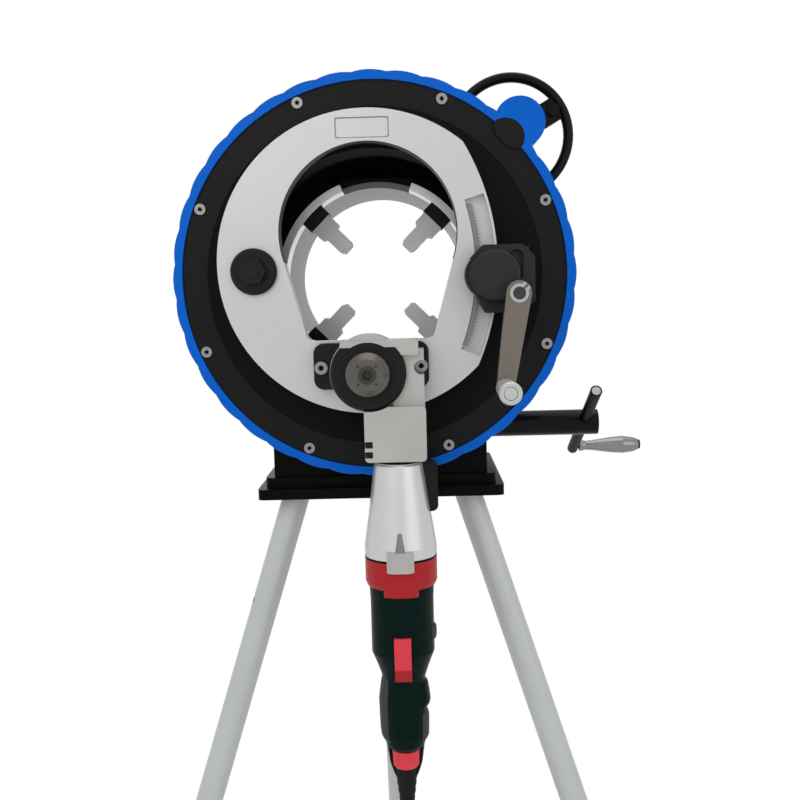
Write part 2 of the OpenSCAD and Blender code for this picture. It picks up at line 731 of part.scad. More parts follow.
// Bend relief with ribs that narrows towards the cord
module strain_relief() color("#131314") at_axis() at_motor() rotate_extrude() polygon(concat([[0, ring_foot]],
    [for (i = [0 : 5]) for (p = [[0, 0], [-0.4, -5], [-1.6, -5.6], [-1.6, -9]])
        [14 - i * 1.1 + p[0], ring_foot - i * 9.6 + p[1]]], [[7, boot_foot], [0, boot_foot]]));

// Motor arbor with its core and the worm's core
module armature() color("#9c8050") at_axis() at_motor() {
    translate([0, 0, -405]) cylinder(r = arbor_r, h = 320);
    translate([0, 0, -398]) cylinder(r = core_r, h = 48);
    translate([0, 0, spindle_z - 18]) cylinder(r = worm_core_r, h = 36);
}

// Outline of the vise body: a long round with a straight-sided post below
module vise_outline(r, half, foot) {
    for (side = [-1, 1]) translate([side * vise_reach, 0]) circle(r);
    translate([-vise_reach, -r]) square([2 * vise_reach, 2 * r]);
    translate([-half, foot]) square([2 * half, post_top - foot]);
}

module vise_body() color("#1b1b1e") at_axis() difference() {
    union() {
        turned_y([[neck_r, casing_depth], [boss_r + 2, casing_depth], [boss_r + 2, casing_depth + 8],
            [neck_r + 9, casing_depth + 8], [neck_r + 9, vise_front], [neck_r, vise_front]]);
        slab(vise_front, cavity_front) difference() {
            vise_outline(vise_r, post_half, saddle_top);
            circle(neck_r);
        }
        slab(cavity_front, cavity_back) difference() {
            vise_outline(vise_r, post_half, saddle_top);
            vise_outline(vise_r - vise_wall, post_half - 10, saddle_top + 16);
        }
    }
    bar_x(screw_r + run_fit, -post_half - 1, post_half + 1, vise_mid, screw_z);
    bar_x(guide_r + seat, -post_half - 1, post_half + 1, vise_mid, guide_z);
}

module vise_back() color("#202023") at_axis() slab(cavity_back, vise_rear) difference() {
    vise_outline(vise_r, post_half, saddle_top);
    circle(sleeve_out_r + seat);
}

module pipe_sleeve() color("#b9bcc0") at_axis() turned_y([[sleeve_r, cavity_back], [sleeve_out_r, cavity_back],
    [sleeve_out_r, cavity_back + sleeve_len], [sleeve_r, cavity_back + sleeve_len]]);

module guide_bar() color("#c3c6ca") at_axis() bar_x(guide_r, -post_half, post_half, vise_mid, guide_z);

// Right-hand half ring with the foot that rides on the guide bar and the screw
module carriage() {
    difference() {
        slab(cavity_front + slip, cavity_back - slip) union() {
            intersection() {
                difference() {
                    circle(carriage_r);
                    circle(sleeve_r);
                }
                polygon([[close_travel + 1.5, -200], [200, -200], [200, 187], [71.7, 186.7],
                    [close_travel + 1.5, 56]]);
            }
            difference() {
                translate([foot_in, -215]) square([foot_out - foot_in, 125]);
                circle(sleeve_r + 1);
            }
        }
        bar_x(screw_r + run_fit, foot_in - 1, foot_out + 1, vise_mid, screw_z);
        bar_x(guide_r + run_fit, foot_in - 1, foot_out + 1, vise_mid, guide_z);
    }
}

module right_carriage() color("#a6a9ae") at_axis() carriage();
module left_carriage() color("#a6a9ae") at_axis() mirror([1, 0, 0]) carriage();

// Two stepped jaws of one carriage
module jaws() {
    for (turn = [-45, 45]) slab(cavity_front + 2, cavity_back - 4) rotate(turn) polygon([
        [jaw_tip_r, -jaw_w / 2 + 3], [jaw_tip_r, jaw_w / 2 - 3], [jaw_tip_r + 5, jaw_w / 2],
        [jaw_tip_r + 30, jaw_w / 2], [jaw_tip_r + 33, 15], [block_in_r, 15], [block_in_r, -15],
        [jaw_tip_r + 33, -15], [jaw_tip_r + 30, -jaw_w / 2], [jaw_tip_r + 5, -jaw_w / 2]]);
}

module right_jaws() color("#8f9094") at_axis() jaws();
module left_jaws() color("#8f9094") at_axis() mirror([1, 0, 0]) jaws();

// Black blocks that carry the jaws on the half ring
module blocks() {
    intersection() {
        for (turn = [-45, 45]) slab(cavity_front + 1, cavity_back - 3) rotate(turn)
            translate([block_in_r, -17]) square([30, 34]);
        bar_y(sleeve_r, 0, vise_rear);
    }
}

module right_blocks() color("#151517") at_axis() blocks();
module left_blocks() color("#151517") at_axis() mirror([1, 0, 0]) blocks();

module screw_tube() color("#141416") at_axis() difference() {
    bar_x(tube_r, post_half, hub_x - 0.5, vise_mid, screw_z);
    bar_x(screw_r + run_fit, post_half - 1, hub_x, vise_mid, screw_z);
}

module vise_screw() color("#9fa2a7") at_axis()
    bar_x(screw_r, -post_half, bar_at - bar_r - 2, vise_mid, screw_z);

module crank_hub() color("#1a1a1d") at_axis() difference() {
    bar_x(tube_r, hub_x, hub_end, vise_mid, screw_z);
    bar_x(screw_r + seat, hub_x - 1, bar_at - bar_r - 1.9, vise_mid, screw_z);
    translate([bar_at, vise_mid, screw_z]) rotate([-bar_tilt, 0, 0]) bar_y(bar_r + seat, -bar_len, bar_len);
}

// Cross bar through the hub, front end up, with the stud of its grip at the back end
module cross_bar() color("#1d1d20") at_axis() translate([bar_at, vise_mid, screw_z]) rotate([-bar_tilt, 0, 0]) {
    bar_y(bar_r, -bar_len / 2, bar_len / 2);
    bar_x(grip_stud_r, 0, bar_r + vise_grip_len + 1, bar_len / 2 - 12, 0);
    bar_x(6.5, bar_r + vise_grip_len + 0.8, bar_r + vise_grip_len + 3, bar_len / 2 - 12, 0);
}

module vise_grip() color("#c9ccd1") at_axis() translate([bar_at, vise_mid, screw_z]) rotate([-bar_tilt, 0, 0])
    translate([0, bar_len / 2 - 12, 0]) rotate([0, 90, 0]) rotate_extrude() polygon([
        [grip_stud_r + 0.08, bar_r + 0.4], [8, bar_r + 0.4], [8, bar_r + 4], [6.5, bar_r + 9],
        [7.5, bar_r + 20],
        [11, bar_r + 44], [12.5, bar_r + 62], [10.5, bar_r + 77], [7.5, bar_r + vise_grip_len + 0.4],
        [grip_stud_r + 0.08, bar_r + vise_grip_len + 0.4]]);

// Turns +Z to the way a leg points
module along_leg(i) {
    way = leg_ways[i];
    translate([leg_tops[i][0], leg_tops[i][1], base_foot])
        rotate([0, acos(way[2] / norm(way)), atan2(way[1], way[0])]) children();
}

module base_plate() color("#161618") at_axis() {
    translate([0, 0, base_foot]) linear_extrude(base_t)
        round_box([-base_half, base_front], [base_half, base_back], 8);
    for (i = [0 : 2]) difference() {
        along_leg(i) translate([0, 0, -8]) cylinder(r = leg_r - leg_wall - 0.1, h = 68);
        translate([-200, 0, base_foot]) cube([400, 300, 60]);
    }
}

// Block on the base plate with a cradle for the casing
module saddle() color("#19191b") at_axis() difference() {
    union() {
        translate([0, 0, saddle_foot]) linear_extrude(saddle_top - saddle_foot)
            round_box([9 - base_half, base_front + 10], [base_half - 9, base_back - 10], 8);
        slab(base_front + 15, casing_depth) translate([-post_half, saddle_top]) square([2 * post_half, 50]);
    }
    bar_y(casing_r + 0.3, base_front, casing_depth + 1);
}

module legs() color("#c9cdcb") at_axis() difference() {
    for (i = [0 : 2]) along_leg(i) translate([0, 0, -12]) cylinder(r = leg_r, h = axis_h);
    for (i = [0 : 2]) along_leg(i) translate([0, 0, -20]) cylinder(r = leg_r - leg_wall, h = axis_h + 20);
    translate([-300, -100, base_foot]) cube([600, 500, 60]);
    translate([-600, -600, floor_z - 400]) cube([1200, 1400, 400 + leg_lift]);
    along_leg(0) translate([0, 0, 146]) rotate([90, 0, -100]) cylinder(r = 3.5, h = 40);
}

// Rubber feet, cut level with the floor
module leg_feet() color("#1c1c1c") at_axis() difference() {
    for (i = [0 : 2]) along_leg(i) cylinder(r = foot_r, h = axis_h);
    translate([-600, -600, floor_z + 46]) cube([1200, 1400, 900]);
    translate([-600, -600, floor_z - 400]) cube([1200, 1400, 400]);
    intersection() {
        for (i = [0 : 2]) along_leg(i) cylinder(r = leg_r + seat, h = axis_h);
        translate([-600, -600, floor_z + leg_lift]) cube([1200, 1400, 900]);
    }
}

// Tube swept along a list of points
function unit(v) = v / norm(v);
function way_at(path, i) = unit(path[min(i + 1, len(path) - 1)] - path[max(i - 1, 0)]);
function ring_at(path, i, r, sides, up) =
    let (t = way_at(path, i), a = unit(cross(t, up)), b = cross(t, a))
    [for (k = [0 : sides - 1]) path[i] + r * (cos(k * 360 / sides) * a + sin(k * 360 / sides) * b)];

module swept(path, r, sides, up, tip = 1) {
    n = len(path);
    points = [for (i = [0 : n - 1]) for (p = ring_at(path, i, i == 0 ? r * tip : r, sides, up)) p];
    walls = [for (i = [0 : n - 2]) for (k = [0 : sides - 1]) for (f = [
        [i * sides + k, i * sides + (k + 1) % sides, (i + 1) * sides + (k + 1) % sides],
        [i * sides + k, (i + 1) * sides + (k + 1) % sides, (i + 1) * sides + k]]) f];
    near = [for (k = [1 : sides - 2]) [0, k + 1, k]];
    far = [for (k = [1 : sides - 2]) [(n - 1) * sides, (n - 1) * sides + k, (n - 1) * sides + k + 1]];
    polyhedron(points, concat(walls, near, far));
}

cord_path = concat([for (d = cord_drop) [motor_x, motor_y, boot_foot - d]],
    [for (p = cord_bend) [motor_x, p[0], floor_z + p[1]]]);

// Coil: spirals in on the floor, climbs a layer in the half turn where it reverses, spirals out again
function coil_point(t) =
    let (r = coil_in_r + coil_step * abs(coil_turns - t), rise = min(max(t - coil_turns + 0.25, 0) / 0.5, 1))
    [coil_c[0] + r * cos(360 * t), coil_c[1] + r * sin(360 * t), cord_floor + coil_step * rise];
coil_end_y = coil_c[1] + plug_lead;
coil_path = concat([coil_start, coil_start + [0, cord_r, 0]],
    [for (i = [0 : 2 * coil_turns * loop_rings]) coil_point(i / loop_rings)],
    [for (y = [coil_end_y - 36, coil_end_y - 18, coil_end_y]) [coil_start[0], y, cord_floor + coil_step]]);
coil_gap = min([for (i = [0 : len(coil_path) - 1], j = [i + 8 : 1 : len(coil_path) - 1])
    norm(coil_path[i] - coil_path[j])]) - 2 * cord_r;
echo(coil_least_gap = coil_gap);

module power_cord() color("#141415") at_axis() swept(cord_path, cord_r, 8, [1, 0, 0], 0.22);
module cord_coil() color("#141415") at_axis() swept(coil_path, cord_r, 6, [0, 0, 1]);

// Two-pin plug at the coil's upper end
module cord_plug() color("#17181a") at_axis() translate([coil_start[0], coil_end_y, cord_floor + coil_step]) {
    rotate([-90, 0, 0]) rotate_extrude()
        polygon([[0, 0], [6, 0], [8, 18], [12.5, 24], [13.5, 44], [11, 50], [0, 50]]);
    for (side = [-1, 1]) translate([side * 6.5, 50, 0]) rotate([-90, 0, 0]) cylinder(r = 2.4, h = 19);
}

base_plate();
saddle();
legs();
leg_feet();
gear_casing();
back_cover();
front_cover();
cover_screws();
rotor_bearing();
pinion_bushes();
vise_body();
vise_back();
pipe_sleeve();
guide_bar();
screw_tube();
power_cord();
cord_coil();
cord_plug();
rotor_disc();
ring_gear();
pivot_stud();
pivot_nut();
feed_housing();
feed_cap();
swing_plate();
feed_rack();
head_flange();
flange_screws();
gear_head();
blade_guard();
motor_nose();
gear_selector();
motor_collar();
motor_body();
cord_ring();
strain_relief();
spindle();
worm_wheel();
blade_flange();
armature();
paddle_switch();
handwheel();
drive_pinion();
wheel_grip();
feed_pinion();
crank_shaft();
crank_arm();
crank_circlip();
crank_grip();
vise_screw();
crank_hub();
cross_bar();
vise_grip();
left_carriage();
left_jaws();
left_blocks();
right_carriage();
right_jaws();
right_blocks();
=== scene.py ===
"""Dresses the pipe cutting and beveling machine: finishes, small fittings, cord, studio and camera."""

from __future__ import annotations

import json
import logging
from dataclasses import dataclass, field
from enum import Enum
from math import cos, pi, radians, sin
from typing import Sequence

import bpy
import numpy as np
from mathutils import Matrix, Vector

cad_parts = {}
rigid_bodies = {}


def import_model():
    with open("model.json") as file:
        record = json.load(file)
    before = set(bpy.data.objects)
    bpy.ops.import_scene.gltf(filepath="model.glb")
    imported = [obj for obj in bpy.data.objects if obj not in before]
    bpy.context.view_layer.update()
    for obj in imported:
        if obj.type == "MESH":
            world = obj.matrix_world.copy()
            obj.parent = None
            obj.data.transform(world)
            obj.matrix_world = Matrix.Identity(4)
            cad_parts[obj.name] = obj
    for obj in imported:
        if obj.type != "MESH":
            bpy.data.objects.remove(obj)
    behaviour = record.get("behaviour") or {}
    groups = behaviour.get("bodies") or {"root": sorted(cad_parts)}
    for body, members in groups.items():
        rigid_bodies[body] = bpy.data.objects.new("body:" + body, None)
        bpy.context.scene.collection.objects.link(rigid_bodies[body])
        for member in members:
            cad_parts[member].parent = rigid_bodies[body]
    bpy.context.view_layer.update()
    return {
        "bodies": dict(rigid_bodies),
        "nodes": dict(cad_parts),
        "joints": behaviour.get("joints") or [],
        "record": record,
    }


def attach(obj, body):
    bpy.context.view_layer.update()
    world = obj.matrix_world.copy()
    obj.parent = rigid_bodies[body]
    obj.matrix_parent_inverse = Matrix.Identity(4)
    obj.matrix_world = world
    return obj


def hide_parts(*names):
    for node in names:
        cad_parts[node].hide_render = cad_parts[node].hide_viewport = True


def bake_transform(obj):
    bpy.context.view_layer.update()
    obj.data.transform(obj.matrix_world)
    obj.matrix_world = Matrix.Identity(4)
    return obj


LOG = logging.getLogger("pipe_machine")
MM = 0.001
AXIS_H = 0.950  # height of the pipe axis above the floor, in metres
FULL_TURN = 2 * pi
SHARP_DEG = 32.0  # new pieces keep edges that turn by more than this crisp
WHITE = (1.0, 1.0, 1.0, 1.0)

# Shared grain: noise has this mean and half this span, the broad one this scale, the bump this height in metres
NOISE_MEAN = 0.5
NOISE_SPAN = 2.0
NOISE_DETAIL = 3.0
MOTTLE_SCALE = 14.0
BUMP_HEIGHT = 0.0006

Vec2 = tuple[float, float]
Vec3 = tuple[float, float, float]
Coord = float | np.ndarray

MOTOR_AXIS: Vec2 = (24.0, -56.0)  # the motor's upright line, in millimetres from the pipe axis


class Body(str, Enum):
    """Bodies that new pieces ride on, by their names in the frame."""

    STAND = "stand"
    ROTOR = "rotor"
    SWING = "swing"
    TRIGGER = "trigger"
    FEED_CRANK = "feed_crank"
    VISE_CRANK = "vise_crank"


class Slot(str, Enum):
    """Material slots of new pieces, by their names in the record."""

    ALU = "alu"
    STEEL = "steel"
    RUBBER = "rubber"
    BLACK_PAINT = "black_paint"
    BLACK_PLASTIC = "black_plastic"
    GREEN_PLASTIC = "green_plastic"
    RED_PLASTIC = "red_plastic"


@dataclass(frozen=True)
class Finish:
    """One surface finish: its colour, gloss and the grain that breaks it up."""

    name: str
    color: Vec3
    metallic: float = 0.0
    roughness: float = 0.5
    specular: float = 0.5
    mottle: float = 0.05
    rough_spread: float = 0.06
    bump: float = 0.05
    scale: float = 220.0
    stretch: Vec3 = (1.0, 1.0, 1.0)


class Paint(Enum):
    """Every finish on the machine."""

    BLUE = Finish("blue_enamel", (0.002, 0.140, 0.70), roughness=0.40, specular=0.10, bump=0.03)
    BLACK_COVER = Finish("black_cover", (0.0075, 0.007, 0.0078), roughness=0.46, specular=0.12, bump=0.05, scale=420)
    BLACK_DISC = Finish("black_disc", (0.009, 0.0088, 0.0095), roughness=0.68, specular=0.03, bump=0.08, scale=320)
    BLACK_BASE = Finish("black_base", (0.002, 0.002, 0.002), roughness=0.42, specular=0.05, bump=0.04, scale=420)
    BLACK_INSIDE = Finish("black_inside", (0.0045, 0.0045, 0.005), roughness=0.80, specular=0.0, bump=0.04)
    # painted shade: the dark sheet on the wall of the plate's opening
    SHADED_WALL = Finish("painted_shade_wall", (0.040, 0.045, 0.044), roughness=0.50, specular=0.10, bump=0.03)
    BLACK_GLOSS = Finish("black_gloss", (0.005, 0.005, 0.005), roughness=0.15, specular=0.10, bump=0.02)
    BLACK_CAP = Finish("black_cap", (0.022, 0.021, 0.023), roughness=0.55, specular=0.20, bump=0.10, scale=600)
    BLACK_STEEL = Finish("black_oxide", (0.010, 0.009, 0.009), roughness=0.42, specular=0.15, bump=0.06)
    PLATE = Finish("satin_plate", (0.60, 0.60, 0.605), metallic=0.35, roughness=0.42, mottle=0.04, bump=0.02,
                   scale=160, stretch=(1.0, 1.0, 0.08))
    # rack steel, also used for the painted shade on the nose rib and in the name-plate recess
    RACK = Finish("rack_steel", (0.20, 0.20, 0.20), metallic=0.5, roughness=0.40, mottle=0.10, bump=0.04)
    CAST = Finish("cast_aluminium", (0.47, 0.46, 0.44), metallic=0.45, roughness=0.46, mottle=0.12, bump=0.16,
                  scale=520)
    CONE = Finish("silver_cone", (0.62, 0.63, 0.63), metallic=0.55, roughness=0.32, mottle=0.05, rough_spread=0.03,
                  bump=0.01, scale=200)
    STEEL = Finish("turned_steel", (0.40, 0.405, 0.41), metallic=0.95, roughness=0.28, bump=0.02)
    SCREW = Finish("screw_steel", (0.25, 0.25, 0.25), metallic=0.9, roughness=0.36, mottle=0.10, bump=0.03)
    DARK_STEEL = Finish("dark_steel", (0.045, 0.044, 0.043), metallic=0.7, roughness=0.35, bump=0.04)
    SLEEVE = Finish("grey_sleeve", (0.23, 0.233, 0.237), metallic=0.8, roughness=0.46, mottle=0.10, bump=0.06)
    CARRIAGE = Finish("grey_half_ring", (0.76, 0.765, 0.77), metallic=0.85, roughness=0.34, mottle=0.14, bump=0.10)
    ARM = Finish("brushed_arm", (0.17, 0.147, 0.125), metallic=0.60, roughness=0.38, mottle=0.08, bump=0.04,
                 scale=300, stretch=(1.0, 1.0, 0.1))
    GRIP = Finish("knurled_grip", (0.52, 0.54, 0.53), metallic=0.55, roughness=0.42, bump=0.35, scale=900)
    JAW = Finish("jaw_steel", (0.82, 0.82, 0.80), metallic=0.25, roughness=0.46, mottle=0.16, bump=0.10)
    CHROME = Finish("chrome", (0.22, 0.22, 0.225), metallic=1.0, roughness=0.16, mottle=0.06, bump=0.02)
    BRONZE = Finish("bronze", (0.48, 0.32, 0.14), metallic=0.9, roughness=0.35)
    RED = Finish("red_collar", (0.50, 0.022, 0.028), roughness=0.38, specular=0.15, bump=0.02)
    RED_BRIGHT = Finish("red_switch", (0.90, 0.060, 0.085), roughness=0.32, specular=0.20, bump=0.02)
    GREEN = Finish("green_plastic", (0.0014, 0.0118, 0.0097), roughness=0.36, specular=0.05, bump=0.10, scale=700)
    GREY_PAD = Finish("grey_pad", (0.060, 0.064, 0.066), roughness=0.62, specular=0.15, bump=0.14, scale=800)
    BLACK_PLASTIC = Finish("black_plastic", (0.006, 0.006, 0.007), roughness=0.46, specular=0.15, bump=0.06,
                           scale=600)
    RUBBER = Finish("black_rubber", (0.008, 0.008, 0.008), roughness=0.62, specular=0.15, bump=0.05, scale=500)
    LEG = Finish("grey_leg_paint", (0.62, 0.65, 0.64), metallic=0.10, roughness=0.40, mottle=0.06, bump=0.03,
                 scale=60)
    NUT = Finish("worn_nut", (0.115, 0.107, 0.096), metallic=0.85, roughness=0.28, mottle=0.20, bump=0.10, scale=260)


def place(x: Coord, y: Coord, z: Coord) -> np.ndarray:
    """Turns millimetres from the pipe axis into metres in the row frame, for one point or for a grid.

    Args:
        x: Distance to the right.
        y: Distance to the back.
        z: Distance upwards.

    Returns:
        The points, in the shape that the three share, with x, y and z along a last axis.
    """
    return np.stack(np.broadcast_arrays(x, y, z), axis=-1) * MM + np.array([0.0, 0.0, AXIS_H])


def math_node(tree: bpy.types.NodeTree, operation: str, *given: float | bpy.types.NodeSocket) -> bpy.types.NodeSocket:
    """Adds a node that works out one value.

    Args:
        tree: The material, group or world that it belongs to.
        operation: What it does.
        given: What goes in, each a number or another node's socket.

    Returns:
        The socket with the result.
    """
    made = tree.nodes.new("ShaderNodeMath")
    made.operation = operation
    for socket, value in zip(made.inputs, given):
        if isinstance(value, bpy.types.NodeSocket):
            tree.links.new(value, socket)
        else:
            socket.default_value = value
    return made.outputs[0]


def surface_grain() -> bpy.types.NodeTree:
    """Builds the shared grain group: noise that mottles the colour, spreads the gloss and raises a fine bump.

    Returns:
        The node group, with named inputs for each material's own values.
    """
    known = bpy.data.node_groups.get("surface_grain")
    if known:
        return known
    tree = bpy.data.node_groups.new("surface_grain", "ShaderNodeTree")
    sockets = {
        "INPUT": {"Color": "Color", "Roughness": "Float", "Mottle": "Float", "Rough Spread": "Float",
                  "Bump": "Float", "Scale": "Float", "Stretch": "Vector"},
        "OUTPUT": {"Color": "Color", "Roughness": "Float", "Normal": "Vector"},
    }
    for side, names in sockets.items():
        for name, kind in names.items():
            tree.interface.new_socket(name, in_out=side, socket_type=f"NodeSocket{kind}")
    nodes, links = tree.nodes, tree.links
    given = nodes.new("NodeGroupInput")
    result = nodes.new("NodeGroupOutput")
    coords = nodes.new("ShaderNodeTexCoord")
    pull = nodes.new("ShaderNodeVectorMath")
    pull.operation = "MULTIPLY"
    fine = nodes.new("ShaderNodeTexNoise")
    fine.inputs["Detail"].default_value = NOISE_DETAIL
    broad = nodes.new("ShaderNodeTexNoise")
    broad.inputs["Scale"].default_value = MOTTLE_SCALE
    links.new(coords.outputs["Object"], pull.inputs[0])
    links.new(given.outputs["Stretch"], pull.inputs[1])
    links.new(pull.outputs[0], fine.inputs["Vector"])
    links.new(given.outputs["Scale"], fine.inputs["Scale"])
    links.new(coords.outputs["Object"], broad.inputs["Vector"])
    shade = math_node(tree, "SUBTRACT", broad.outputs["Fac"], NOISE_MEAN)
    depth = math_node(tree, "MULTIPLY_ADD", shade, given.outputs["Mottle"], 1.0)
    tint = nodes.new("ShaderNodeVectorMath")
    tint.operation = "SCALE"
    links.new(given.outputs["Color"], tint.inputs[0])
    links.new(depth, tint.inputs["Scale"])
    links.new(tint.outputs[0], result.inputs["Color"])
    grit = math_node(tree, "SUBTRACT", fine.outputs["Fac"], NOISE_MEAN)
    gloss = math_node(tree, "MULTIPLY_ADD", grit, given.outputs["Rough Spread"], given.outputs["Roughness"])
    links.new(gloss, result.inputs["Roughness"])
    raised = nodes.new("ShaderNodeBump")
    raised.inputs["Distance"].default_value = BUMP_HEIGHT
    links.new(given.outputs["Bump"], raised.inputs["Strength"])
    links.new(fine.outputs["Fac"], raised.inputs["Height"])
    links.new(raised.outputs["Normal"], result.inputs["Normal"])
    return tree


def material(paint: Paint) -> bpy.types.Material:
    """Makes the material of a finish once and hands out the same one after that.

    Args:
        paint: The finish wanted.

    Returns:
        A Principled material fed by the shared grain group.
    """
    finish = paint.value
    known = bpy.data.materials.get(f"finish_{finish.name}")
    if known:
        return known
    made = bpy.data.materials.new(f"finish_{finish.name}")
    made.use_nodes = True
    made.diffuse_color = (*finish.color, 1.0)
    nodes, links = made.node_tree.nodes, made.node_tree.links
    shader = nodes["Principled BSDF"]
    shader.inputs["Metallic"].default_value = finish.metallic
    shader.inputs["Specular IOR Level"].default_value = finish.specular
    grain = nodes.new("ShaderNodeGroup")
    grain.node_tree = surface_grain()
    values = {"Color": (*finish.color, 1.0), "Roughness": finish.roughness, "Mottle": finish.mottle * NOISE_SPAN,
              "Rough Spread": finish.rough_spread * NOISE_SPAN, "Bump": finish.bump, "Scale": finish.scale,
              "Stretch": finish.stretch}
    for name, value in values.items():
        grain.inputs[name].default_value = value
    for given, taken in (("Color", "Base Color"), ("Roughness", "Roughness"), ("Normal", "Normal")):
        links.new(grain.outputs[given], shader.inputs[taken])
    return made


def grid_mesh(name: str, points: np.ndarray, around: bool = True, capped: bool = True,
              ringed: bool = False) -> bpy.types.Object:
    """Puts a grid of points into a mesh object.

    The grid has shape (rows, columns, 3). Quads join each point to the next in both directions; with around the
    last column joins the first, with ringed the last row joins the first, and with capped the end rows of a grid
    that isn't ringed are closed by one face each.

    Args:
        name: Name of the object.
        points: The grid.
        around: Whether the columns run round a closed section.
        capped: Whether the end rows are closed.
        ringed: Whether the rows run round a closed path.

    Returns:
        The linked object, smooth shaded but for its sharp edges.
    """
    rows, columns = points.shape[:2]
    index = np.arange(rows * columns).reshape(rows, columns)
    ends = [index[0, ::-1].tolist(), index[-1].tolist()]
    if around:
        index = np.concatenate([index, index[:, :1]], axis=1)
    if ringed:
        index = np.concatenate([index, index[:1]])
    quads = np.stack([index[:-1, :-1], index[:-1, 1:], index[1:, 1:], index[1:, :-1]], axis=-1)
    faces: list[list[int]] = quads.reshape(-1, 4).tolist()
    if capped and not ringed:
        faces += ends
    mesh = bpy.data.meshes.new(name)
    mesh.from_pydata(points.reshape(-1, 3).tolist(), [], faces)
    mesh.polygons.foreach_set("use_smooth", np.ones(len(faces), dtype=bool))
    mesh.set_sharp_from_angle(angle=radians(SHARP_DEG))
    mesh.update()
    made = bpy.data.objects.new(name, mesh)
    bpy.context.scene.collection.objects.link(made)
    return made


def tube(name: str, path: np.ndarray, radius: float, sides: int, up: Vec3) -> bpy.types.Object:
    """Sweeps a circle of sides points along a path, square to the path at each point.

    Args:
        name: Name of the object.
        path: Points of the centreline in metres, shape (n, 3).
        radius: Radius of the tube in metres.
        sides: Points round the circle.
        up: Direction that the path never runs along.

    Returns:
        The tube's object.
    """
    way = np.gradient(path, axis=0)
    way /= np.linalg.norm(way, axis=1, keepdims=True)
    across = np.cross(way, np.array(up))
    across /= np.linalg.norm(across, axis=1, keepdims=True)
    over = np.cross(way, across)
    turn = np.linspace(0, FULL_TURN, sides, endpoint=False)
    ring = across[:, None, :] * np.cos(turn)[None, :, None] + over[:, None, :] * np.sin(turn)[None, :, None]
    return grid_mesh(name, path[:, None, :] + radius * ring)


def turned(name: str, profile: np.ndarray, middle: Vec3, sides: int = 24) -> bpy.types.Object:
    """Turns a profile of radius and depth about a line along Y, listed from the back to the front.

    Args:
        name: Name of the object.
        profile: Rows of radius and depth from the middle, in millimetres, shape (n, 2).
        middle: Point on the line, in millimetres from the pipe axis.
        sides: Points round the turn.

    Returns:
        The turned piece, closed at both ends.
    """
    x, y, z = middle
    turn = np.linspace(0, FULL_TURN, sides, endpoint=False)
    radius, depth = profile[:, :1], profile[:, 1:]
    return grid_mesh(name, place(x + radius * np.cos(turn), y + depth, z + radius * np.sin(turn)))


def shell_patch(name: str, middle: Vec2, levels: np.ndarray, radii: np.ndarray, arc: Vec2, lift: float,
                columns: int = 28, proud: float = 0.1, sunk: float = 2.0) -> bpy.types.Object:
    """Lays a raised patch on a turned body whose axis is upright, with all sizes in millimetres.

    Each row is a closed loop: an outer arc that stands lift above the body, fading to nothing near its four edges by
    one minus the sixth power of the distance from the patch's middle, and an inner arc just under the surface.

    Args:
        name: Name of the object.
        middle: The body's axis, to the right and to the back of the pipe axis.
        levels: Heights of the rows, rising.
        radii: Radius of the body at each row.
        arc: First and last angle of the patch, in degrees from +X towards +Y.
        lift: How far the patch stands out.
        columns: Points along each arc.
        proud: How far its edges still stand out.
        sunk: How deep its inner arc lies.

    Returns:
        The closed patch.
    """
    angle = np.radians(np.linspace(*arc, columns))
    u = np.linspace(-1, 1, columns)[None, :]
    v = np.linspace(-1, 1, len(levels))[:, None]
    outer = radii[:, None] + lift * (1 - u**6) * (1 - v**6) + proud
    inner = np.repeat(radii[:, None] - sunk, columns, axis=1)
    radius = np.concatenate([outer, inner], axis=1)
    turn = np.concatenate([angle, angle[::-1]])
    x, y = middle
    return grid_mesh(name, place(x + radius * np.cos(turn), y + radius * np.sin(turn), levels[:, None]))


def dress(made: bpy.types.Object, paint: Paint, body: Body) -> None:
    """Gives a new piece its finish and the body that it rides on.

    Args:
        made: The piece.
        paint: Its finish.
        body: The body.
    """
    made.data.materials.append(material(paint))
    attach(made, body.value)
    LOG.info("%s rides %s", made.name, body.value)


@dataclass(frozen=True)
class Lamp:
    """One square area lamp: its place in millimetres from the pipe axis, its side in metres and its power in watts."""

    name: str
    where: Vec3
    size: float
    watts: float


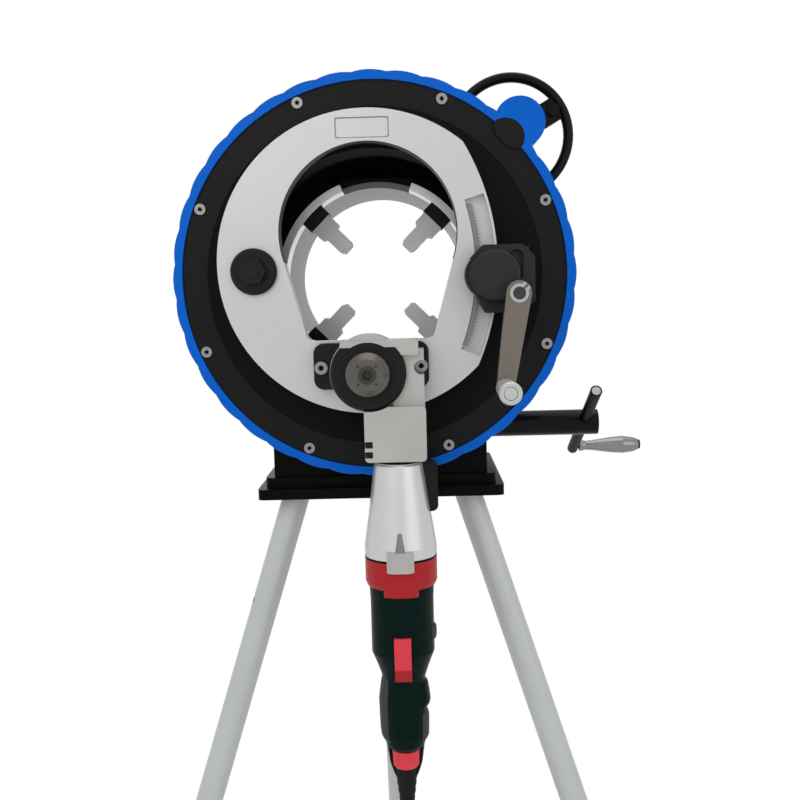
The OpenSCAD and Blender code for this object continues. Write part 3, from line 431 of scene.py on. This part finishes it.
@dataclass
class Studio:
    """Pale floor, white surroundings and soft lamps."""

    floor_half: float = 6.0
    floor_tone: float = 0.85
    floor_roughness: float = 0.9
    fade_range: Vec2 = (0.9, 2.6)
    floor_shares: Vec2 = (0.5, 1.0)
    floor_glows: Vec2 = (1.42, 1.0)
    world_lit: float = 0.38
    world_seen: float = 1.0
    aim: Vec3 = (0.0, 0.0, -80.0)
    lamps: tuple[Lamp, ...] = (
        Lamp("key", (-900.0, -1700.0, 1100.0), 1.6, 15.0),
        Lamp("fill", (1500.0, -1500.0, 500.0), 1.8, 8.0),
        Lamp("top", (100.0, 300.0, 1700.0), 1.8, 11.5),
        Lamp("rear", (-700.0, 1700.0, 700.0), 1.6, 8.0))

    def build(self) -> None:
        """Lays the floor, lights the world and hangs the lamps."""
        side = np.array([-self.floor_half, self.floor_half])
        corners = np.stack(np.broadcast_arrays(side[None, :], side[:, None], 0.0), axis=-1)
        floor = grid_mesh("studio_floor", corners, around=False, capped=False)
        floor.data.materials.append(self.floor_material())
        self.world()
        for lamp in self.lamps:
            self.hang(lamp)

    def floor_material(self) -> bpy.types.Material:
        """Makes the white floor: near the machine half of what is seen is lit by the lamps, so that its shadow stays.

        Returns:
            The floor's material, whose own light takes over with the distance.
        """
        made = bpy.data.materials.new("studio_white")
        made.use_nodes = True
        tree = made.node_tree
        shader = tree.nodes["Principled BSDF"]
        shader.inputs["Base Color"].default_value = (self.floor_tone, self.floor_tone, self.floor_tone, 1.0)
        shader.inputs["Roughness"].default_value = self.floor_roughness
        glow = tree.nodes.new("ShaderNodeEmission")
        tree.links.new(self.fade(tree, self.floor_glows), glow.inputs["Strength"])
        share = math_node(tree, "MULTIPLY", self.seen_rays(tree), self.fade(tree, self.floor_shares))
        self.mix(tree, share, shader, glow, "Material Output")
        return made

    def fade(self, tree: bpy.types.NodeTree, ends: Vec2) -> bpy.types.NodeSocket:
        """Adds a value that changes smoothly with the distance from the machine.

        Args:
            tree: The material that asks.
            ends: The value near the machine and the one far from it.

        Returns:
            The socket that gives the value.
        """
        coords = tree.nodes.new("ShaderNodeTexCoord")
        away = tree.nodes.new("ShaderNodeVectorMath")
        away.operation = "LENGTH"
        ramp = tree.nodes.new("ShaderNodeMapRange")
        ramp.interpolation_type = "SMOOTHSTEP"
        ramp.inputs["From Min"].default_value, ramp.inputs["From Max"].default_value = self.fade_range
        ramp.inputs["To Min"].default_value, ramp.inputs["To Max"].default_value = ends
        tree.links.new(coords.outputs["Object"], away.inputs[0])
        tree.links.new(away.outputs["Value"], ramp.inputs["Value"])
        return ramp.outputs["Result"]

    def seen_rays(self, tree: bpy.types.NodeTree) -> bpy.types.NodeSocket:
        """Adds the test for rays that see a background: from the camera, a mirror or glass.

        Args:
            tree: The material or world that asks.

        Returns:
            A socket that is 1 for those rays and 0 for the rest.
        """
        ray = tree.nodes.new("ShaderNodeLightPath").outputs
        mirrors = math_node(tree, "MAXIMUM", ray["Is Glossy Ray"], ray["Is Transmission Ray"])
        return math_node(tree, "MAXIMUM", ray["Is Camera Ray"], mirrors)

    def mix(self, tree: bpy.types.NodeTree, share: bpy.types.NodeSocket, lit: bpy.types.Node, seen: bpy.types.Node,
            output: str) -> None:
        """Sends a blend of two shaders to the surface.

        Args:
            tree: The material or world.
            share: How much of the second shader shows.
            lit: The first shader.
            seen: The second shader.
            output: Name of the tree's output node.
        """
        blend = tree.nodes.new("ShaderNodeMixShader")
        for socket, given in zip(blend.inputs, (share, lit.outputs[0], seen.outputs[0])):
            tree.links.new(given, socket)
        tree.links.new(blend.outputs[0], tree.nodes[output].inputs["Surface"])

    def world(self) -> None:
        """Makes a world that is white for the camera and for mirrors, and dimmer in the light that it throws."""
        world = bpy.data.worlds.new("studio_world")
        bpy.context.scene.world = world
        world.use_nodes = True
        tree = world.node_tree
        lit, seen = tree.nodes["Background"], tree.nodes.new("ShaderNodeBackground")
        for shader, strength in ((lit, self.world_lit), (seen, self.world_seen)):
            shader.inputs["Color"].default_value = WHITE
            shader.inputs["Strength"].default_value = strength
        self.mix(tree, self.seen_rays(tree), lit, seen, "World Output")

    def hang(self, lamp: Lamp) -> None:
        """Hangs a lamp that faces the machine.

        Args:
            lamp: The lamp.
        """
        light = bpy.data.lights.new(f"lamp_{lamp.name}", "AREA")
        light.size = lamp.size
        light.energy = lamp.watts
        made = bpy.data.objects.new(f"lamp_{lamp.name}", light)
        bpy.context.scene.collection.objects.link(made)
        made.location = place(*lamp.where)
        ahead = Vector(place(*self.aim)) - Vector(place(*lamp.where))
        made.rotation_euler = ahead.to_track_quat("-Z", "Y").to_euler()
        LOG.info("lamp %s hangs", lamp.name)


@dataclass
class Camera:
    """Camera at the photograph's place and angle, for an image of 800 by 800 pixels."""

    eye: Vec3 = (47.0, -1200.0, -18.0)
    focal_px: float = 1000.0
    image_px: float = 800.0
    sensor_mm: float = 36.0
    pitch_deg: float = 6.2
    yaw_deg: float = 0.97
    roll_deg: float = 1.5

    def build(self) -> None:
        """Makes the camera: forward from yaw and pitch, then rolled about its view."""
        yaw, pitch, roll = radians(self.yaw_deg), radians(self.pitch_deg), radians(self.roll_deg)
        ahead = Vector((-sin(yaw) * cos(pitch), cos(yaw) * cos(pitch), -sin(pitch)))
        right = ahead.cross(Vector((0, 0, 1))).normalized()
        up = right.cross(ahead)
        across = right * cos(roll) - up * sin(roll)
        top = up * cos(roll) + right * sin(roll)
        data = bpy.data.cameras.new("photo_camera")
        data.sensor_width = self.sensor_mm
        data.lens = self.sensor_mm * self.focal_px / self.image_px
        made = bpy.data.objects.new("photo_camera", data)
        bpy.context.scene.collection.objects.link(made)
        frame = Matrix((across, top, -ahead)).transposed().to_4x4()
        frame.translation = Vector(place(*self.eye))
        made.matrix_world = frame
        bpy.context.scene.camera = made


@dataclass
class PowerCord:
    """Mains lead: hangs from the motor's bend relief, runs along the floor and ends in a coil with its plug.

    Its sizes are in metres, from the floor.
    """

    radius: float = 0.0045
    route: tuple[Vec3, ...] = (
        (0.024, -0.056, 0.3099), (0.024, -0.056, 0.304), (0.024, -0.056, 0.280), (0.024, -0.056, 0.254),
        (0.024, -0.056, 0.228), (0.024, -0.056, 0.202), (0.024, -0.056, 0.176), (0.024, -0.056, 0.150),
        (0.024, -0.056, 0.124), (0.024, -0.056, 0.104), (0.024, -0.055, 0.084), (0.024, -0.052, 0.068),
        (0.024, -0.044, 0.047), (0.024, -0.031, 0.029), (0.024, -0.014, 0.016), (0.024, 0.007, 0.008),
        (0.024, 0.029, 0.0045), (0.024, 0.048, 0.0045), (0.024, 0.067, 0.0045), (0.024, 0.086, 0.0045),
        (0.024, 0.104, 0.0045))
    swing_points: int = 6
    coil_in: float = 0.038
    coil_turns: float = 4.5
    coil_gap: float = 0.0006
    lift_turns: float = 0.5
    plug_lead: float = 0.045
    plug_points: int = 5
    loop_points: int = 48
    sides: int = 14

    def smooth(self, points: np.ndarray, steps: int = 6) -> np.ndarray:
        """Rounds a route: each stretch is the cubic through its two points with the slopes of their neighbours.

        Args:
            points: The route, shape (n, 3).
            steps: Samples in each stretch.

        Returns:
            The rounded route, never lower than the cord lies on the floor.
        """
        slope = np.gradient(points, axis=0)
        t = np.linspace(0, 1, steps, endpoint=False)[None, :, None]
        a, b = points[:-1, None, :], points[1:, None, :]
        m, n = slope[:-1, None, :], slope[1:, None, :]
        chord = (2 * t**3 - 3 * t**2 + 1) * a + (3 * t**2 - 2 * t**3) * b
        bend = (t**3 - 2 * t**2 + t) * m + (t**3 - t**2) * n
        line = np.concatenate([(chord + bend).reshape(-1, 3), points[-1:]])
        line[:, 2] = np.maximum(line[:, 2], self.radius)
        return line

    def coil_path(self) -> np.ndarray:
        """Spirals in on the floor, up one layer in the half turn where it reverses, out again and on to the plug.

        Returns:
            The coil's centreline, shape (n, 3).
        """
        x, y, z = self.route[-1]
        step = 2 * self.radius + self.coil_gap
        turns = np.linspace(0, 2 * self.coil_turns, int(2 * self.coil_turns * self.loop_points) + 1)
        r = self.coil_in + step * np.abs(self.coil_turns - turns)
        rise = np.clip((turns - self.coil_turns) / self.lift_turns + 0.5, 0, 1)
        middle = (x - self.coil_in - step * self.coil_turns, y + 2 * self.radius)
        angle = FULL_TURN * turns
        loops = np.stack([middle[0] + r * np.cos(angle), middle[1] + r * np.sin(angle), z + step * rise], axis=1)
        start = np.array([[x, y, z], [x, y + self.radius, z]])
        away = middle[1] + np.linspace(0, self.plug_lead, self.plug_points + 1)[1:]
        end = np.stack(np.broadcast_arrays(x, away, z + step), axis=1)
        return np.concatenate([start, loops, end])

    def stretch(self, name: str, line: np.ndarray, up: Vec3, far_end: str, lay: str,
                with_pieces: Sequence[str] = ()) -> bpy.types.Object:
        """Makes one stretch of the lead.

        Args:
            name: Name of the piece.
            line: Centreline.
            up: Direction that the line never runs along.
            far_end: What the stretch ends in; not used.
            lay: How it lies; not used.
            with_pieces: Pieces at its end; not used.

        Returns:
            The stretch's tube.
        """
        made = tube(name, line, self.radius, self.sides, up)
        made.data.materials.append(material(Paint.RUBBER))
        return made

    def build(self) -> None:
        """Makes the three stretches, bakes the two hanging ones in place, hands the coil to the stand and hides the
        CAD's cord and coil.
        """
        points = np.array(self.route)
        upper = self.smooth(points[:self.swing_points])
        lower = self.smooth(points[self.swing_points - 1:])
        first = self.stretch("lead_upper", upper, (1, 0, 0), "object", "hanging")
        second = self.stretch("lead_lower", lower, (1, 0, 0), "object", "hanging")
        coil = self.stretch("lead_coil", self.coil_path(), (0, 0, 1), "plug", "coiled", ["cord_plug"])
        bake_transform(first)
        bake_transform(second)
        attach(coil, Body.STAND.value)
        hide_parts("power_cord")
        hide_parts("cord_coil")


@dataclass
class Paintwork:
    """Finish of each CAD piece that stays as it is."""

    coats: dict[Paint, tuple[str, ...]] = field(default_factory=lambda: {
        Paint.BLUE: ("gear_casing", "back_cover"),
        Paint.BLACK_COVER: ("front_cover", "vise_back"),
        Paint.BLACK_DISC: ("rotor_disc",),
        Paint.BLACK_BASE: ("base_plate", "saddle", "cross_bar"),
        Paint.BLACK_INSIDE: ("vise_body",),
        Paint.BLACK_GLOSS: ("screw_tube", "crank_hub", "handwheel", "wheel_grip"),
        Paint.BLACK_CAP: ("feed_cap", "feed_housing"),
        Paint.BLACK_STEEL: ("pivot_nut", "pivot_stud", "head_flange", "blade_guard", "left_blocks", "right_blocks"),
        Paint.PLATE: ("swing_plate",),
        Paint.RACK: ("feed_rack",),
        Paint.CAST: ("gear_head",),
        Paint.CONE: ("motor_nose",),
        Paint.STEEL: ("ring_gear", "guide_bar", "drive_pinion", "feed_pinion", "crank_circlip", "vise_screw",
                      "armature"),
        Paint.SCREW: ("cover_screws", "flange_screws"),
        Paint.DARK_STEEL: ("crank_shaft", "spindle"),
        Paint.SLEEVE: ("pipe_sleeve",),
        Paint.CARRIAGE: ("left_carriage", "right_carriage"),
        Paint.ARM: ("crank_arm",),
        Paint.GRIP: ("crank_grip",),
        Paint.JAW: ("left_jaws", "right_jaws"),
        Paint.CHROME: ("vise_grip",),
        Paint.BRONZE: ("rotor_bearing", "pinion_bushes", "worm_wheel"),
        Paint.RED: ("motor_collar",),
        Paint.RED_BRIGHT: ("paddle_switch", "cord_ring"),
        Paint.GREEN: ("motor_body",),
        Paint.BLACK_PLASTIC: ("gear_selector", "cord_plug"),
        Paint.RUBBER: ("leg_feet", "strain_relief"),
        Paint.LEG: ("legs",),
        Paint.NUT: ("blade_flange",),
    })

    def build(self, nodes: dict[str, bpy.types.Object]) -> None:
        """Gives each CAD piece its finish.

        Args:
            nodes: The frame's CAD pieces by name.
        """
        for paint, names in self.coats.items():
            for name in names:
                slots = nodes[name].data.materials
                slots.clear()
                slots.append(material(paint))
                LOG.info("%s gets %s", name, paint.value.name)


@dataclass
class EdgeSoftening:
    """Small worked edges on the CAD pieces, so that they catch the light as real edges do."""

    segments: int = 2
    sharp_deg: float = 40.0
    widths: dict[str, float] = field(default_factory=lambda: {
        "gear_casing": 2.4, "front_cover": 0.6, "swing_plate": 0.5, "head_flange": 1.0, "gear_head": 0.8,
        "blade_guard": 0.8, "feed_housing": 0.5, "feed_cap": 1.0, "crank_arm": 1.0, "base_plate": 1.2, "saddle": 1.0,
        "left_jaws": 0.8, "right_jaws": 0.8, "left_blocks": 0.6, "right_blocks": 0.6, "left_carriage": 0.8,
        "right_carriage": 0.8, "pipe_sleeve": 1.0, "pivot_nut": 0.8, "crank_hub": 1.2, "screw_tube": 0.8,
        "motor_collar": 0.8, "motor_nose": 0.8, "paddle_switch": 2.4, "gear_selector": 1.0, "handwheel": 0.8,
        "vise_back": 1.0, "cross_bar": 1.0, "flange_screws": 0.5})

    def build(self, nodes: dict[str, bpy.types.Object]) -> None:
        """Adds one bevel to each listed piece, on its sharp edges alone.

        Args:
            nodes: The frame's CAD pieces by name.
        """
        for name, width in self.widths.items():
            soft = nodes[name].modifiers.new("worked_edges", "BEVEL")
            soft.width = width * MM
            soft.segments = self.segments
            soft.limit_method = "ANGLE"
            soft.angle_limit = radians(self.sharp_deg)
            soft.use_clamp_overlap = True
            soft.harden_normals = True
            LOG.info("%s gets edges of %.1f mm", name, width)


@dataclass(frozen=True)
class Pad:
    """One raised patch on the motor: its foot and top, its arc in degrees and how far it stands out."""

    name: str
    levels: Vec2
    arc: Vec2
    lift: float
    paint: Paint
    slot: Slot


@dataclass
class MotorTrim:
    """Pads, lug and tongue on the motor's plastic housing, and the housing's rim behind the red cord ring.

    The two profiles list heights from the pipe axis and the radius there, in millimetres.
    """

    rows: int = 24
    housing: tuple[Vec2, ...] = ((-558, 19), (-553, 23), (-542, 26), (-497, 27), (-481, 25), (-471, 25), (-456, 30),
                                 (-438, 37), (-375, 37), (-357, 38))
    pads: tuple[Pad, ...] = (
        Pad("pad_left", (-548, -468), (150, 222), 3.4, Paint.GREY_PAD, Slot.GREEN_PLASTIC),
        Pad("pad_right", (-548, -512), (-38, 24), 2.2, Paint.GREY_PAD, Slot.GREEN_PLASTIC),
        Pad("thumb_rest", (-506, -474), (-44, 24), 3.8, Paint.GREEN, Slot.GREEN_PLASTIC),
        Pad("side_lug", (-424, -406), (-24, 2), 3.0, Paint.GREY_PAD, Slot.BLACK_PLASTIC),
        Pad("collar_tongue", (-366, -348), (238, 302), 3.9, Paint.RED, Slot.RED_PLASTIC))
    rim: tuple[Vec2, ...] = ((-594, 13.2), (-578, 18.2), (-562, 20.4), (-548, 22.0))
    shroud: Pad = Pad("ring_shroud", (-594, -548), (-12, 192), 2.0, Paint.GREEN, Slot.GREEN_PLASTIC)

    def lay(self, pad: Pad, profile: tuple[Vec2, ...]) -> None:
        """Lays one patch on a turned profile.

        Args:
            pad: The patch.
            profile: Heights and radii of what it lies on.
        """
        levels = np.linspace(*pad.levels, self.rows)
        heights, radii = np.array(profile).T
        made = shell_patch(pad.name, MOTOR_AXIS, levels, np.interp(levels, heights, radii), pad.arc, pad.lift)
        dress(made, pad.paint, Body.SWING)

    def build(self) -> None:
        """Lays the pads on the housing, and the rim round the back of the red ring, narrowing towards the cord."""
        for pad in self.pads:
            self.lay(pad, self.housing)
        self.lay(self.shroud, self.rim)


@dataclass
class NoseTab:
    """Faceted tab at the foot of the silver cone, over the boss that bears on the red collar, and painted shade on the
    rib above it.
    """

    section: tuple[Vec2, ...] = ((8.5, -92.0), (8.5, -98.2), (14.5, -102.6), (33.5, -102.6), (39.5, -98.2),
                                 (39.5, -92.0))
    levels: Vec2 = (-334.6, -310.8)
    rib_axis: Vec2 = (24.0, -94.0)
    rib_levels: Vec2 = (-311.6, -289.8)
    rib_radii: Vec2 = (6.8, 2.3)
    rib_columns: int = 32

    def build(self) -> None:
        """Draws the section, listed from the left round the front, upwards between the two levels."""
        x, y = np.array(self.section).T
        points = place(x, y, np.array(self.levels)[:, None])
        dress(grid_mesh("nose_tab", points), Paint.CAST, Body.SWING)
        self.rib()

    def rib(self) -> None:
        """Lays painted shade on the pointed rib above the tab: a darker cone about an upright line, 0.3 mm proud."""
        turn = np.linspace(0, FULL_TURN, self.rib_columns, endpoint=False)
        radius, level = np.array(self.rib_radii)[:, None], np.array(self.rib_levels)[:, None]
        x, y = self.rib_axis
        points = place(x + radius * np.cos(turn), y + radius * np.sin(turn), level)
        # painted shade on the rib, in the rack's darker steel
        dress(grid_mesh("nose_rib_shade", points), Paint.RACK, Body.SWING)


@dataclass
class PaddleLip:
    """Darker lower step of the paddle switch."""

    section: tuple[Vec2, ...] = ((-30.0, -454.0), (-34.4, -453.4), (-30.2, -465.6), (-28.0, -468.2), (-24.0, -468.2))
    half: float = 9.9

    def build(self) -> None:
        """Draws the section, given from the motor's middle line, from one side of the paddle to the other."""
        x, y = MOTOR_AXIS
        ends = np.array([[x - self.half], [x + self.half]])
        depth, level = np.array(self.section).T
        dress(grid_mesh("paddle_lip", place(ends, y + depth, level)), Paint.RED, Body.TRIGGER)


@dataclass
class MotorGapShade:
    """Painted shade in the gaps above the silver cone and below it: thin black bands, of which the outer radius, foot
    and top are listed.
    """

    thick: float = 0.8
    gaps: dict[str, Vec3] = field(default_factory=lambda: {
        "neck_gap_shade": (26.8, -213.4, -210.2), "collar_gap_shade": (42.15, -324.6, -322.0)})
    columns: int = 72

    def build(self) -> None:
        """Turns a thin band of painted shade about the motor's upright axis for each gap."""
        turn = np.linspace(0, FULL_TURN, self.columns, endpoint=False)[:, None]
        x, y = MOTOR_AXIS
        for name, (outer, foot, top) in self.gaps.items():
            radius = np.array([outer, outer, outer - self.thick, outer - self.thick])
            level = np.array([top, foot, foot, top])
            points = place(x + radius * np.cos(turn), y + radius * np.sin(turn), level)
            # painted shade: a black band where the gap lies in shadow
            dress(grid_mesh(name, points, ringed=True), Paint.BLACK_BASE, Body.SWING)


@dataclass
class PlateShading:
    """Painted shade on the wall of the plate's round opening, and a fine rim of painted shadow inside the bare
    name-plate recess.
    """

    opening_c: Vec2 = (-5.0, 51.0)
    opening_r: float = 103.9
    wall: float = 0.5
    wall_faces: Vec2 = (-27.3, -4.4)
    wall_arc: Vec2 = (-18.0, 198.0)
    recess_c: Vec2 = (-8.7, 170.0)
    recess_half: Vec2 = (30.9, 11.65)
    rim: float = 1.0
    rim_faces: Vec2 = (-27.2, -26.5)
    corner_power: float = 14.0
    columns: int = 120

    def band(self, outer: np.ndarray, inner: np.ndarray, faces: Vec2) -> np.ndarray:
        """Joins an outer and an inner line to a grid whose columns run front, back, back, front.

        Args:
            outer: Outer line, shape (n, 2).
            inner: Inner line, shape (n, 2).
            faces: Depth of the front and of the back.

        Returns:
            Points of shape (n, 4, 3) in metres.
        """
        flat = np.stack([outer, outer, inner, inner], axis=1)
        front, back = faces
        return place(flat[..., 0], np.array([front, back, back, front]), flat[..., 1])

    def build(self) -> None:
        """Lays the wall's painted shade along its arc, and the rim of painted shadow along a rectangle with tight
        corners.

        The rim's lines are superellipses: the cosine and sine, each raised to two over the corner power with its
        sign kept, times the half sizes.
        """
        turn = np.radians(np.linspace(*self.wall_arc, self.columns))
        way = np.stack([np.cos(turn), np.sin(turn)], axis=1)
        middle, inside = np.array(self.opening_c), self.opening_r - self.wall
        wall = self.band(middle + way * self.opening_r, middle + way * inside, self.wall_faces)
        # painted shade: a dark sheet just inside the opening's wall
        dress(grid_mesh("opening_wall_shade", wall), Paint.SHADED_WALL, Body.SWING)
        turn = np.linspace(0, FULL_TURN, 2 * self.columns, endpoint=False)
        way = np.stack([np.cos(turn), np.sin(turn)], axis=1)
        square = np.sign(way) * np.abs(way) ** (2 / self.corner_power)
        middle, half = np.array(self.recess_c), np.array(self.recess_half)
        rim = self.band(middle + square * half, middle + square * (half - self.rim), self.rim_faces)
        # painted shadow: a darker line along the recess walls, in the rack's steel finish
        dress(grid_mesh("recess_shadow_rim", rim, ringed=True), Paint.RACK, Body.SWING)


@dataclass
class GuardWings:
    """Black shoulders of the blade guard to the left and right of its round top."""

    middle: Vec2 = (-7.0, -109.0)
    inner: float = 34.2
    outer: float = 42.7
    levels: Vec2 = (19.4, 29.4)
    faces: Vec2 = (-82.6, -83.5)
    rows: int = 14

    def build(self) -> None:
        """Fills the band between two circles about the spindle, from the lower to the upper level, on each side."""
        level = np.linspace(*self.levels, self.rows)
        outer = np.stack([np.sqrt(self.outer**2 - level**2), level], axis=1)
        inner = np.stack([np.sqrt(self.inner**2 - level**2), level], axis=1)[::-1]
        right = np.concatenate([outer, inner])
        sides = {"guard_wing_right": right, "guard_wing_left": (right * np.array([-1.0, 1.0]))[::-1]}
        for name, loop in sides.items():
            x, z = (loop + np.array(self.middle)).T
            points = place(x, np.array(self.faces)[:, None], z)
            dress(grid_mesh(name, points), Paint.BLACK_STEEL, Body.SWING)


@dataclass
class BarEnd:
    """Bright end face of the vise crank's cross bar."""

    middle: Vec3 = (272.0, 49.876, -148.358)
    way: Vec3 = (0.0, -0.88295, 0.46947)
    radius: float = 5.6
    ends: Vec2 = (-0.4, 0.35)
    sides: int = 28

    def build(self) -> None:
        """Sets a thin disc square to the bar's axis."""
        line = np.array(self.middle) + np.array(self.ends)[:, None] * np.array(self.way)
        made = tube("bar_end", place(*line.T), self.radius * MM, self.sides, (1, 0, 0))
        dress(made, Paint.STEEL, Body.VISE_CRANK)


@dataclass
class ClampScrewShade:
    """Two dark screws in the side slots of the clamp block over the motor; their black also stands in for painted
    shade inside the slots.
    """

    radius: float = 2.6
    depth: float = -81.2
    ends: Vec2 = (-12.6, -4.6)
    levels: Vec2 = (-201.5, -190.0)
    sides: int = 20

    def build(self) -> None:
        """Lays one screw along X in each slot."""
        for number, level in enumerate(self.levels):
            line = place(np.array(self.ends), self.depth, level)
            made = tube(f"clamp_screw_shade_{number}", line, self.radius * MM, self.sides, (0, 0, 1))
            # painted shade: the black screw also darkens the slot
            dress(made, Paint.BLACK_STEEL, Body.SWING)


@dataclass
class ScrewSocketShade:
    """Painted shade in the hexagon sockets of the cover's and the flange's screws: dark marks in place of the holes.
    """

    ring: float = 221.0
    count: int = 8
    first_deg: float = 22.5
    cover_face: float = -2.5
    cover_half: float = 2.2
    flange_spots: tuple[Vec2, ...] = ((-63.0, -104.0), (53.0, -104.0))
    flange_face: float = -47.0
    flange_half: float = 3.0
    sunk: float = 0.3
    proud: float = 0.12
    sides: int = 6

    def socket(self, name: str, at: Vec3, half: float, body: Body) -> None:
        """Turns one six-sided mark of painted shade for a socket.

        Args:
            name: Name of the piece.
            at: Middle of the screw's face, in millimetres from the pipe axis.
            half: Radius over the corners.
            body: Body that the screw rides on.
        """
        profile = np.array([[half, self.sunk], [half, -self.proud]])
        # painted shade: a dark hexagon stands for the shade inside the socket
        dress(turned(name, profile, at, self.sides), Paint.BLACK_BASE, body)

    def build(self) -> None:
        """Paints the shade of the sockets of the cover's screws, evenly spaced on their ring, and of the two flange
        screws.
        """
        for number in range(self.count):
            turn = radians(self.first_deg + 360.0 / self.count * number)
            at = (self.ring * cos(turn), self.cover_face, self.ring * sin(turn))
            self.socket(f"cover_socket_shade_{number}", at, self.cover_half, Body.STAND)
        for number, (x, z) in enumerate(self.flange_spots):
            self.socket(f"flange_socket_shade_{number}", (x, self.flange_face, z), self.flange_half, Body.SWING)


@dataclass
class CoverLobe:
    """Lobe of the black cover that reaches over the casing's bump to about its middle."""

    bump: Vec2 = (175.0, 175.0)
    bump_radius: float = 30.8
    lobe: Vec2 = (158.0, 158.0)
    lobe_radius: float = 22.5
    middle: Vec2 = (165.0, 165.0)
    faces: Vec2 = (0.3, -3.3)
    worked_edge: float = 0.3
    columns: int = 96

    def reach(self, way: np.ndarray, centre: Vec2, radius: float) -> np.ndarray:
        """Measures from the lobe's middle to a circle along each direction.

        Args:
            way: Unit directions, shape (n, 2).
            centre: Middle of the circle.
            radius: Its radius.

        Returns:
            One distance for each direction.
        """
        away = np.array(centre) - np.array(self.middle)
        along = way @ away
        return along + np.sqrt(along**2 - away @ away + radius**2)

    def build(self) -> None:
        """Makes the lens that both circles share: in each direction the nearer circle sets the edge."""
        turn = np.linspace(0, FULL_TURN, self.columns, endpoint=False)
        way = np.stack([np.cos(turn), np.sin(turn)], axis=1)
        rim = np.minimum(self.reach(way, self.bump, self.bump_radius), self.reach(way, self.lobe, self.lobe_radius))
        back, front = self.faces
        inset = np.array([0.0, 0.0, self.worked_edge])[:, None]
        depth = np.array([back, front + self.worked_edge, front])[:, None]
        flat = np.array(self.middle) + way * (rim - inset)[..., None]
        points = place(flat[..., 0], depth, flat[..., 1])
        dress(grid_mesh("cover_lobe", points), Paint.BLACK_COVER, Body.STAND)


@dataclass
class GripCap:
    """Bright end of the feed crank's grip stud."""

    middle: Vec2 = (146.0, -127.96)
    radius: float = 7.0
    faces: Vec2 = (-153.5, -154.3)
    worked_edge: Vec2 = (0.4, 0.3)

    def build(self) -> None:
        """Turns the cap, with a small worked edge."""
        (back, front), (inset, rise) = self.faces, self.worked_edge
        profile = np.array([[self.radius, back], [self.radius, front + rise], [self.radius - inset, front]])
        x, z = self.middle
        dress(turned("grip_cap", profile, (x, 0.0, z)), Paint.GRIP, Body.FEED_CRANK)


def main() -> None:
    """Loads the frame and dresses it."""
    logging.basicConfig(level=logging.WARNING)
    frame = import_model()
    bpy.context.scene.view_settings.view_transform = "Standard"
    for setting in (Camera(), PowerCord(), Studio()):
        setting.build()
    for dressing in (Paintwork(), EdgeSoftening()):
        dressing.build(frame["nodes"])
    for fitting in (MotorTrim(), NoseTab(), PaddleLip(), MotorGapShade(), PlateShading(), GuardWings(), BarEnd(),
                    ClampScrewShade(), ScrewSocketShade(), CoverLobe(), GripCap()):
        fitting.build()


if __name__ == "__main__":
    main()
